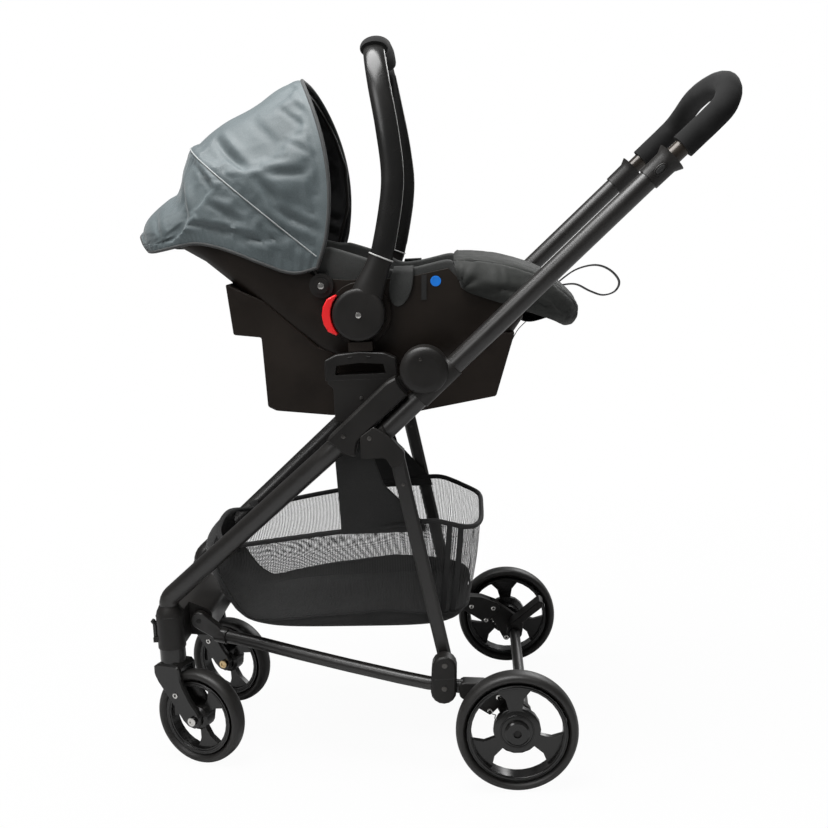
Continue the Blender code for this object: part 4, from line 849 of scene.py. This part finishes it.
def canopy_plain(u, v):
    """The canopy's smooth form: u goes over the top from side to side, v from the bow to the tip."""
    base_y, base_z, apex_y, apex_z, half, bulge = between(CANOPY_ROWS, v)
    c, s = math.cos(math.pi * u), math.sin(math.pi * u)
    h = abs(s) ** 0.8
    x = half * math.copysign(abs(c) ** 0.72, c)
    y = base_y + (apex_y - base_y) * h + bulge * abs(math.sin(math.pi * h)) ** 0.75
    return Vector((x, y, base_z + (apex_z - base_z) * h))


def seam_row(u):
    """Where the piped seam crosses this strip of the canopy."""
    low, high = 0.0, SEAM_BEFORE
    for _ in range(24):
        v = (low + high) / 2
        p = canopy_plain(u, v)
        if (p.y - SEAM_TOP[0]) / SEAM_RUN[0] > (SEAM_TOP[1] - p.z) / SEAM_RUN[1]:
            low = v
        else:
            high = v
    return low


SEAM = [seam_row(k / SEAM_STEPS) for k in range(SEAM_STEPS + 1)]


def off_seam(u, v):
    """How far this place lies from the piped seam, along v."""
    return v - SEAM[int(round(u * SEAM_STEPS))]


def canopy_out(u, v):
    """The outward direction of the canopy's form at this place."""
    a = canopy_plain(min(u + 0.01, 1), v) - canopy_plain(max(u - 0.01, 0), v)
    b = canopy_plain(u, min(v + 0.01, 1)) - canopy_plain(u, max(v - 0.01, 0))
    n = b.cross(a)
    if n.length < 1e-9:
        return Vector((0, -1, 0))
    n.normalize()
    middle = Vector((0, 0.15, 0.86))
    return n if n.dot(canopy_plain(u, v) - middle) > 0 else -n


FOLDS = [(0.1336, 1.0231, 0.1805, 0.9734, 0.0085, 0.0068), (0.0959, 0.9909, 0.1274, 0.9436, 0.006, 0.0056),
         (0.2503, 1.0845, 0.2791, 1.0531, 0.003, 0.0036), (0.235, 1.07, 0.268, 1.04, 0.0026, 0.004),
         (0.2026, 0.9552, 0.2314, 0.9194, 0.007, 0.008), (0.215, 0.962, 0.2691, 0.9595, 0.0045, 0.0072),
         (0.2306, 0.9079, 0.2985, 0.8701, 0.005, 0.0052), (0.215, 0.89, 0.285, 0.85, 0.004, 0.0044),
         (0.1636, 0.864, 0.2356, 0.86, 0.0045, 0.0048), (0.098, 0.89, 0.19, 0.868, 0.0045, 0.0056),
         (0.0667, 0.95, 0.075, 0.91, 0.008, 0.008), (0.075, 0.91, 0.06, 0.87, 0.008, 0.0096),
         (0.1938, 1.0501, 0.225, 1.015, 0.003, 0.0072), (0.02, 0.915, 0.035, 0.875, 0.0035, 0.0064),
         (0.245, 1.015, 0.29, 0.985, 0.0028, 0.0048), (0.125, 0.92, 0.175, 0.89, 0.0035, 0.0072)]


def canopy_surface(u, v):
    """The canopy with its folds, its soft unevenness, the drawn-in seam and the gathers at its edge."""
    p = canopy_plain(u, v)
    far = u > 0.5
    y, z = (p.y - 0.01, p.z + 0.008) if far else (p.y, p.z)
    deep = 0.0
    for y_a, z_a, y_b, z_b, depth, width in FOLDS:
        run_y, run_z = y_b - y_a, z_b - z_a
        length = math.hypot(run_y, run_z)
        t = ((y - y_a) * run_y + (z - z_a) * run_z) / length ** 2
        off = ((y - y_a) * run_z - (z - z_a) * run_y) / length / width
        beyond = max(-t, t - 1.0, 0.0) * length / width
        if beyond < 3.0 and abs(off) < 5.0:
            fade = bell(beyond, 1) * (0.55 + 0.45 * math.sin(math.pi * clamped(t)))
            deep += depth * fade * (bell(off, 1) - 0.45 * bell(off + 1.9, 1.2))
    turn_y, turn_z = 0.29 - p.y, p.z - 0.815
    fan = math.atan2(turn_z, turn_y)
    reach = math.hypot(turn_y, turn_z)
    side = -1 if far else 1
    broad = wobble(p.x * 7, p.y * 13 + side, p.z * 13)
    small = wobble(fan * 9, reach * 26, side * 7.7)
    calm = min(v / 0.06, 1.0) * min(abs(math.sin(math.pi * u)) / 0.12, 1.0)
    pinch = bell(off_seam(u, v) * CANOPY_DEEP, 0.005)
    band = bell((v - 0.042) * CANOPY_DEEP, 0.0022)
    to_tip = (1 - v) * CANOPY_DEEP
    edge = min(min(u, 1 - u) * CANOPY_ROUND, to_tip)
    gather = math.exp(-edge / 0.014) * (0.5 + 0.5 * math.sin((v if edge < to_tip else u) * 190))
    deep = (deep + 0.0034 * broad + 0.001 * small) * calm * (1 - 0.8 * pinch)
    deep += 0.001 * pinch + 0.001 * band + 0.0018 * gather * min(v / 0.1, 1.0)
    return p - canopy_out(u, v) * max(deep, -0.004)


def slackened(piece, held, slack, pressure, cap):
    """Let the sheet, cut too large by slack, go as cloth between its held lines, and bring every point
    back to no further off than cap."""
    rest = np.array([v.co for v in piece.data.vertices])
    sewn = piece.vertex_groups.new(name="sewn")
    layer = piece.data.uv_layers.active.data
    for corner, spot in zip(piece.data.loops, layer):
        if held(spot.uv.x, spot.uv.y):
            sewn.add([corner.vertex_index], 1.0, "REPLACE")
    only(piece)
    bpy.ops.object.modifier_add(type="CLOTH")
    cloth = piece.modifiers[-1]
    cloth.settings.quality = 5
    cloth.settings.mass = 0.15
    cloth.settings.tension_stiffness = 20
    cloth.settings.compression_stiffness = 20
    cloth.settings.shear_stiffness = 8
    cloth.settings.bending_stiffness = 0.25
    cloth.settings.shrink_min = -slack
    cloth.settings.use_pressure = True
    cloth.settings.uniform_pressure_force = pressure
    cloth.settings.effector_weights.gravity = 0.25
    cloth.settings.vertex_group_mass = "sewn"
    for k in range(1, CLOTH_FRAMES + 1):
        bpy.context.scene.frame_set(k)
    bpy.ops.object.modifier_apply(modifier=cloth.name)
    bpy.context.scene.frame_set(1)
    moved = np.array([v.co for v in piece.data.vertices]) - rest
    far = np.linalg.norm(moved, axis=1)
    moved *= (cap * np.tanh(far / cap) / np.maximum(far, 1e-9))[:, None]
    for point, place in zip(piece.data.vertices, rest + moved):
        point.co = place


def canopy_held(u, v):
    """Sewn down: the bow's hem, the tip, the elastic at both sides and the piped seam."""
    return v < 0.045 or v > 0.985 or min(u, 1 - u) < 0.008 or abs(off_seam(u, v)) < 0.011


charcoal = woven("charcoal_polyester", (0.05, 0.066, 0.071), (0.082, 0.104, 0.11), 0.001, 0.0001,
                 0.58, 0.2, (0.75, 0.4))
lining = woven("black_lining", (0.01, 0.01, 0.011), (0.018, 0.018, 0.019), 0.0012, 0.0001,
               0.8, 0.08, (0.75, 0.4))
canopy = shaped_sheet("canopy_cloth", 150, 96, lambda u, v: at(*canopy_surface(u, v)))
slackened(canopy, canopy_held, 0.032, 1.2, 0.007)
canopy.data.materials.append(charcoal)
canopy.data.materials.append(lining)
thickened(canopy, 0.0016, -1.0, material_offset=1, use_quality_normals=True)
smoothed(canopy, 60)
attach(canopy, "canopy")
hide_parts("canopy_fabric")

piping = grained("grey_piping", (0.27, 0.285, 0.285), 0.5, 900, 0.0001,
                 (0.23, 0.245, 0.245), (0.31, 0.325, 0.325), (0.45, 0.6), sheen=0.2)
dark_piping = woven("charcoal_piping", (0.022, 0.023, 0.023), (0.036, 0.038, 0.038), 0.0012, 0.0002,
                    0.7, 0.15)


def on_canopy(u, v, lift):
    """A point at this height above the canopy's cloth."""
    return at(*(canopy_surface(u, v) + canopy_out(u, v) * lift))


ridge = [on_canopy(k / SEAM_STEPS, SEAM[k], 0.0014) for k in range(1, SEAM_STEPS)]
bead("canopy_piping", ridge, 0.0011, "canopy", piping, sides=2, steps=3)
front_edge = [on_canopy(k / 40, 0.004, -0.0006) for k in range(41)]
bead("canopy_front_hem", front_edge, 0.003, "canopy", dark_piping, steps=4)
rear_edge = [on_canopy(0.0, k / 22, 0.0) for k in range(22)]
rear_edge += [on_canopy(k / 12, 0.997, 0.0) for k in range(1, 12)]
rear_edge += [on_canopy(1.0, 1 - k / 22, 0.0) for k in range(1, 23)]
bead("canopy_elastic_hem", rear_edge, 0.0026, "canopy", dark_piping, steps=4)

# Carry handle: gloss moulded bow, oval in section, its lower ends in matt sleeves with hub discs that
# turn on the shell.
CARRY = [(0.1808, 0.35, 0.741, 0.0165), (0.1808, 0.37, 0.782, 0.0195), (0.1808, 0.387, 0.821, 0.0178),
         (0.1795, 0.405, 0.896, 0.0172), (0.176, 0.412, 0.953, 0.0172), (0.168, 0.4065, 1.022, 0.0172),
         (0.153, 0.397, 1.087, 0.017), (0.127, 0.391, 1.13, 0.0168), (0.093, 0.389, 1.149, 0.0165),
         (0.05, 0.389, 1.158, 0.0165), (0.0, 0.389, 1.159, 0.0165)]
CARRY_RUN = CARRY + [(-x, y, z, r) for x, y, z, r in CARRY[-2::-1]]


def round_the_bow(t, turn, wide, thin, run=CARRY_RUN):
    """On the bow's oval section: t along the bow, turn round it."""
    x, y, z, r = between(run, t)
    a = Vector(between(run, max(t - 0.004, 0))[:3])
    b = Vector(between(run, min(t + 0.004, 1))[:3])
    along = (b - a).normalized()
    fore = Vector((0, 1, 0)) - along * along.y
    fore.normalize()
    other = along.cross(fore)
    angle = 2 * math.pi * turn
    return at(x, y, z) + fore * (r * wide * math.cos(angle)) + other * (r * thin * math.sin(angle))


def capped(piece, material, body):
    """Close the open ends of a swept piece, turn its faces outward and give it its material."""
    opened(piece)
    bpy.ops.mesh.remove_doubles(threshold=0.00003)
    bpy.ops.mesh.fill_holes(sides=0)
    bpy.ops.mesh.normals_make_consistent(inside=False)
    bpy.ops.object.mode_set(mode="OBJECT")
    smoothed(piece, 50)
    piece.data.materials.append(material)
    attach(piece, body)


gloss = grained("gloss_bow_moulding", (0.009, 0.009, 0.009), 0.26, 120, 0.00001,
                (0.007, 0.007, 0.0068), (0.012, 0.0115, 0.011), (0.23, 0.31), shine=0.36)
HANDLE_PIVOT = (0.35, 0.741)
BOW_FROM, BOW_LONG = 0.098, 0.804
bow = shaped_sheet("carry_bow", 40, 180, lambda u, v: round_the_bow(BOW_FROM + BOW_LONG * v, u, 1.0, 0.46))
capped(bow, gloss, "carry_bow")
hubs = eased("carry_handle", nylon, 0.0012, 42)
opened(hubs)
bpy.ops.mesh.bisect(plane_co=(0, 0, 0.8), plane_no=(0, 0, 1), clear_outer=True, use_fill=True)
bpy.ops.object.mode_set(mode="OBJECT")
for sign, side in SIDES:
    out = (sign, 0, 0)
    run = [(sign * 0.1808, 0.361, 0.762, 0.0258), (sign * 0.1808, 0.3675, 0.78, 0.0238),
           (sign * 0.1808, 0.3765, 0.8, 0.0208), (sign * 0.1806, 0.3838, 0.8165, 0.019),
           (sign * 0.1803, 0.3886, 0.8275, 0.0186)]
    sleeve = shaped_sheet("bow_sleeve_" + side, 40, 28, lambda u, v: round_the_bow(v, u, 1.0, 0.52, run))
    capped(sleeve, nylon, "carry_bow")
    ring = [round_the_bow(1.0, k / 20, 1.02, 0.54, run) for k in range(20)]
    bead("sleeve_ring_" + side, ring, 0.0012, "carry_bow", pale, closed=True, sides=2, steps=3)
    stops = (0.115, 0.14, 0.17, 0.2, 0.23, 0.26, 0.29, 0.32, 0.35)
    seam = [round_the_bow(t if sign > 0 else 1 - t, 0.0, 1.004, 0.46) for t in stops]
    bead("bow_seam_" + side, seam, 0.0006, "carry_bow", pale, sides=2, steps=4)
    head("carry_screw_" + side, at(sign * 0.1944, *HANDLE_PIVOT), out, 0.0045, 0.0014, "carry_bow",
         steel, 0.4)
    lip("carry_hub_rim_" + side, at(sign * 0.1918, *HANDLE_PIVOT), out, 0.0352, 0.0, 0.0012, "carry_bow")
    red = grained("red_button_" + side, (0.8, 0.013, 0.016), 0.34, 900, 0.00003,
                  (0.76, 0.011, 0.014), (0.84, 0.015, 0.018), (0.3, 0.42), coat=0.2)
    button = eased("release_button_" + side, red, 0.0014)
    for point in button.data.vertices:
        away = Vector((0, point.co.y - HANDLE_PIVOT[0] - CASTER_Y, point.co.z - HANDLE_PIVOT[1]))
        point.co += away.normalized() * 0.0042 * clamped((away.length - 0.04) / 0.0113)

# Carry grip: a sleeve of the same foam as the push handle's, pulled over the top of the bow and a
# little thinner at both of its ends.
GRIP_FROM, GRIP_LONG = 0.388, 0.224


def grip_section(u, v):
    """The foam's oval, a little smaller at its ends."""
    end = abs(2 * v - 1) ** 14
    return round_the_bow(GRIP_FROM + GRIP_LONG * v, u, 1.4 - 0.12 * end, 0.94 - 0.16 * end)


sleeve = shaped_sheet("carry_grip_foam", 32, 64, grip_section)
capped(sleeve, foam, "carry_bow")
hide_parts("carry_grip")

# Seat liner: quilted pad of charcoal cloth lying in the shell, its edge rolled a little over the rim
# and higher beside the head.
SHELL = [(0.018, 0.873, 0.9, 0.085), (0.06, 0.852, 0.903, 0.118), (0.1, 0.829, 0.893, 0.136),
         (0.139, 0.796, 0.878, 0.147), (0.2, 0.735, 0.848, 0.153), (0.245, 0.692, 0.822, 0.155),
         (0.29, 0.652, 0.799, 0.156), (0.33, 0.632, 0.794, 0.158), (0.42, 0.622, 0.793, 0.16),
         (0.49, 0.627, 0.805, 0.16), (0.503, 0.628, 0.791, 0.16), (0.545, 0.646, 0.772, 0.156),
         (0.585, 0.69, 0.751, 0.148), (0.604, 0.718, 0.738, 0.138)]
SECTION = [(-1.0, 1.0), (-1.0, 0.75), (-1.0, 0.5), (-0.975, 0.28), (-0.9, 0.12), (-0.72, 0.03), (-0.35, 0.0),
           (0.35, 0.0), (0.72, 0.03), (0.9, 0.12), (0.975, 0.28), (1.0, 0.5), (1.0, 0.75), (1.0, 1.0)]
LINER_PAD = 0.0175
CHANNELS = 0.052


def liner_point(u, v):
    """The liner's upper face: u from rim to rim, v from the head end to the foot, in puffed channels."""
    y, low, rim, half = between(SHELL, 0.02 + 0.955 * v)
    a, b = between(SECTION, u)
    lift = read(y, [0.0, 0.15, 0.27, 0.31, 0.364, 0.4, 0.5, 0.6],
                [0.004, 0.012, 0.044, 0.051, 0.034, 0.014, 0.013, 0.004])
    channel = 0.5 + 0.5 * math.cos(2 * math.pi * (y / CHANNELS)) if 0.1 < y < 0.56 else 0.0
    puff = 0.0042 * (1 - channel ** 6) * math.exp(-((a / 0.92) ** 8)) * (0.4 + 0.6 * (1 - b))
    z = low + LINER_PAD + b * (rim + lift - low - LINER_PAD) + puff
    x = a * (half - 0.0165 + 0.006 * min(b / 0.9, 1.0) ** 4)
    return at(x, y, z)


liner_cloth = woven("liner_cloth", (0.022, 0.023, 0.022), (0.036, 0.038, 0.036), 0.0014, 0.00015, 0.78, 0.12)
liner = shaped_sheet("seat_liner_pad", 72, 120, liner_point)
thickened(liner, 0.0085, -1.0)
modified(liner, "SUBSURF", levels=1, render_levels=1)
liner.data.materials.append(liner_cloth)
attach(liner, "car_seat")
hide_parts("seat_liner")

# Liner tabs: drop-shaped ears of the liner pulled over the rim behind the carry handle.
for sign, side in SIDES:
    def tab(u, v, sign=sign):
        """An ear, widest at its top edge and rounded off below."""
        z = 0.811 - 0.062 * v
        wide = 0.015 * math.sqrt(max(1 - max(v - 0.45, 0.0) ** 2 / 0.3025, 0.0)) + 0.003 * v * (1 - v) * 4
        y = 0.4215 - 0.012 * v + (u - 0.5) * 2 * wide
        x = 0.1612 + 0.0028 * math.sin(math.pi * min(v * 1.15, 1.0)) - 0.005 * max(0.12 - v, 0) / 0.12
        return at(sign * x, y, z)

    ear = shaped_sheet("liner_tab_" + side, 16, 24, tab, flip=sign > 0)
    thickened(ear, 0.0022)
    ear.data.materials.append(liner_cloth)
    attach(ear, "car_seat")
    elastic = spots(sign, (0.1606, 0.4525, 0.797), (0.161, 0.4515, 0.78), (0.1606, 0.4505, 0.758))
    tape_strip("shell_elastic_" + side, elastic, 0.008, 0.001, "car_seat", tape, (0, 1, 0))

# Harness: black webbing over the shoulders and between the legs, meeting in a moulded buckle with a
# red button.
webbing = woven("harness_webbing", (0.012, 0.012, 0.012), (0.024, 0.024, 0.024), 0.0011, 0.0002, 0.7, 0.2)
for sign, side in SIDES:
    line = spots(sign, (0.04, 0.15, 0.8065), (0.039, 0.205, 0.772), (0.036, 0.262, 0.728),
                 (0.026, 0.33, 0.696), (0.016, 0.392, 0.6925))
    strap = tape_strip("shoulder_strap_" + side, line, 0.024, 0.0022, "car_seat", webbing, (1, 0, 0))
line = spots(1, (0, 0.42, 0.692), (0, 0.44, 0.686), (0, 0.456, 0.668), (0, 0.462, 0.65))
crotch = tape_strip("crotch_strap", line, 0.026, 0.0026, "car_seat", webbing, (1, 0, 0))
buckle = fresh("harness_buckle", bpy.ops.mesh.primitive_cube_add, size=1, location=at(0, 0.414, 0.6935),
               scale=(0.046, 0.044, 0.014))
bpy.ops.object.transform_apply(location=True, rotation=True, scale=True)
top_faces(buckle)
bpy.ops.mesh.inset(thickness=0.006)
bpy.ops.transform.translate(value=(0, 0, 0.002))
bpy.ops.object.mode_set(mode="OBJECT")
bevelled(buckle, 0.003, 30, 3)
smoothed(buckle, 40)
buckle.data.materials.append(nylon)
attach(buckle, "car_seat")
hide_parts("harness")
red = bpy.data.materials["red_button_l"]
head("buckle_button", at(0, 0.414, 0.7035), (0, 0, 1), 0.009, 0.003, "car_seat", red, 0.5)

# Foot cover: padded hood of charcoal cloth drawn over the foot end, its top and two sides joined by
# stitched seams, bound round the edges and tied down to the shell by a thin elastic.
COVER = [(0.512, 0.779, 0.501, 0.821, 0.1655), (0.538, 0.766, 0.537, 0.819, 0.166),
         (0.576, 0.752, 0.575, 0.813, 0.162), (0.606, 0.74, 0.608, 0.802, 0.153),
         (0.6353, 0.728, 0.64, 0.788, 0.137), (0.656, 0.718, 0.67, 0.764, 0.115),
         (0.67, 0.7095, 0.689, 0.742, 0.088), (0.684, 0.708, 0.6935, 0.724, 0.062)]
HOOD_ROUND = np.linspace(0.0, math.pi, 2001)
HOOD_X = pressed(np.cos(HOOD_ROUND), 0.4)
HOOD_UP = np.abs(np.sin(HOOD_ROUND)) ** 0.42
HOOD_WALKED = walked(HOOD_X, 0.16, HOOD_UP, 0.056)
HOOD_WIDE, HOOD_LONG = 0.4, 0.21
TOP_SEAM = 0.15


def hood(u, v, lift=0.0):
    """On the cover: u from hem to hem over the top, v from the opening to the toe."""
    low_y, low_z, top_y, top_z, half = between(COVER, v)
    x = read(u, HOOD_WALKED, HOOD_X)
    up = read(u, HOOD_WALKED, HOOD_UP)
    near = min(u, 1 - u)
    seam = bell((near - TOP_SEAM) * HOOD_WIDE, 0.0028)
    hem = math.exp(-near * HOOD_WIDE / 0.004) + math.exp(-v * HOOD_LONG / 0.004)
    pull = wobble(u * 13, v * 5, 0.4) * 0.0016 + abs(wobble(u * 26, v * 17, 2.1)) * 0.0018
    fan = math.atan2(v + 0.02, near + 0.02)
    corner = bell(v * 0.5 + near * 1.6, 0.22) * 0.0024 * math.sin(fan * 17)
    puff = 0.005 * (1 - seam) * (1 - min(hem, 1.0)) - pull + corner
    crown = 0.004 * (1 - x * x)
    out = Vector((x * up ** 3 + (1 - up) * math.copysign(1, x) * 0.8, 0.25 * v, up * (1 - abs(x) ** 5)))
    point = Vector((x * half, low_y + (top_y - low_y) * up, low_z + (top_z - low_z) * up + crown - 0.004))
    return at(*(point + out.normalized() * (puff - 0.0022 + lift)))


def hood_held(u, v):
    """Sewn down: both hems, the opening, the toe and the two seams along the top."""
    near = min(u, 1 - u)
    return near < 0.012 or v < 0.02 or v > 0.98 or abs(near - TOP_SEAM) < 0.006


cover_cloth = woven("cover_cloth", (0.0085, 0.0095, 0.008), (0.015, 0.0165, 0.0145), 0.0014, 0.00015,
                    0.76, 0.03, (0.42, 0.22))
cover = shaped_sheet("foot_cover_hood", 120, 64, hood)
slackened(cover, hood_held, 0.014, 0.9, 0.0028)
thickened(cover, 0.0045, -1.0, use_quality_normals=True)
smoothed(cover, 60)
cover.data.materials.append(cover_cloth)
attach(cover, "car_seat")
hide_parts("foot_cover")

edging = woven("cover_binding", (0.016, 0.017, 0.016), (0.026, 0.028, 0.026), 0.0012, 0.0002, 0.78, 0.1)
front_run = [hood(k / 40, 0.0) for k in range(41)]
bead("cover_front_binding", front_run, 0.003, "car_seat", edging, steps=4)
for sign, side in SIDES:
    low, high = (0.0, TOP_SEAM) if sign > 0 else (1.0, 1 - TOP_SEAM)
    bead("cover_hem_" + side, [hood(low, k / 24) for k in range(25)], 0.0028, "car_seat", edging, steps=4)
    stitched = [hood(high, k / 30, 0.001) for k in range(31)]
    bead("cover_seam_" + side, stitched, 0.001, "car_seat", edging, sides=2, steps=4)
toe_run = [hood(k / 24, 1.0) for k in range(25)]
bead("cover_toe_binding", toe_run, 0.003, "car_seat", edging, steps=4)


def underside(u, v):
    """The flap that closes the cover from below, drawn round under the foot end."""
    y, z = between([(0.606, 0.731), (0.601, 0.713), (0.618, 0.7085), (0.645, 0.7135), (0.658, 0.719)], v)
    x = (u - 0.5) * 0.2
    return at(x, y, z + 0.0035 * (abs(x) / 0.1) ** 2 + 0.0012 * wobble(x * 30, y * 30, 0))


flap = shaped_sheet("cover_underside", 30, 20, underside)
thickened(flap, 0.0016)
flap.data.materials.append(black_cloth)
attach(flap, "car_seat")
for sign, side in SIDES:
    tie = spots(sign, (0.096, 0.615, 0.715), (0.098, 0.604, 0.706), (0.1, 0.595, 0.6967),
                (0.101, 0.5848, 0.6794))
    tape_strip("cover_elastic_" + side, tie, 0.0032, 0.001, "car_seat", tape, (1, 0, 0))

# Pull strap: a loop of flat black webbing sewn under the foot cover, standing out behind the seat.
loop = spots(1, (0.0, 0.668, 0.764), (0.0, 0.6992, 0.7848), (0.0, 0.7327, 0.7916), (0.0, 0.7574, 0.7821),
             (0.0, 0.772, 0.763), (0.0, 0.7649, 0.7466), (0.0, 0.7448, 0.7409), (0.0, 0.7232, 0.7486),
             (0.0, 0.6985, 0.7614), (0.0, 0.669, 0.76))
pull = tape_strip("pull_strap", loop, 0.012, 0.0026, "car_seat", webbing, (1, 0, 0.1))
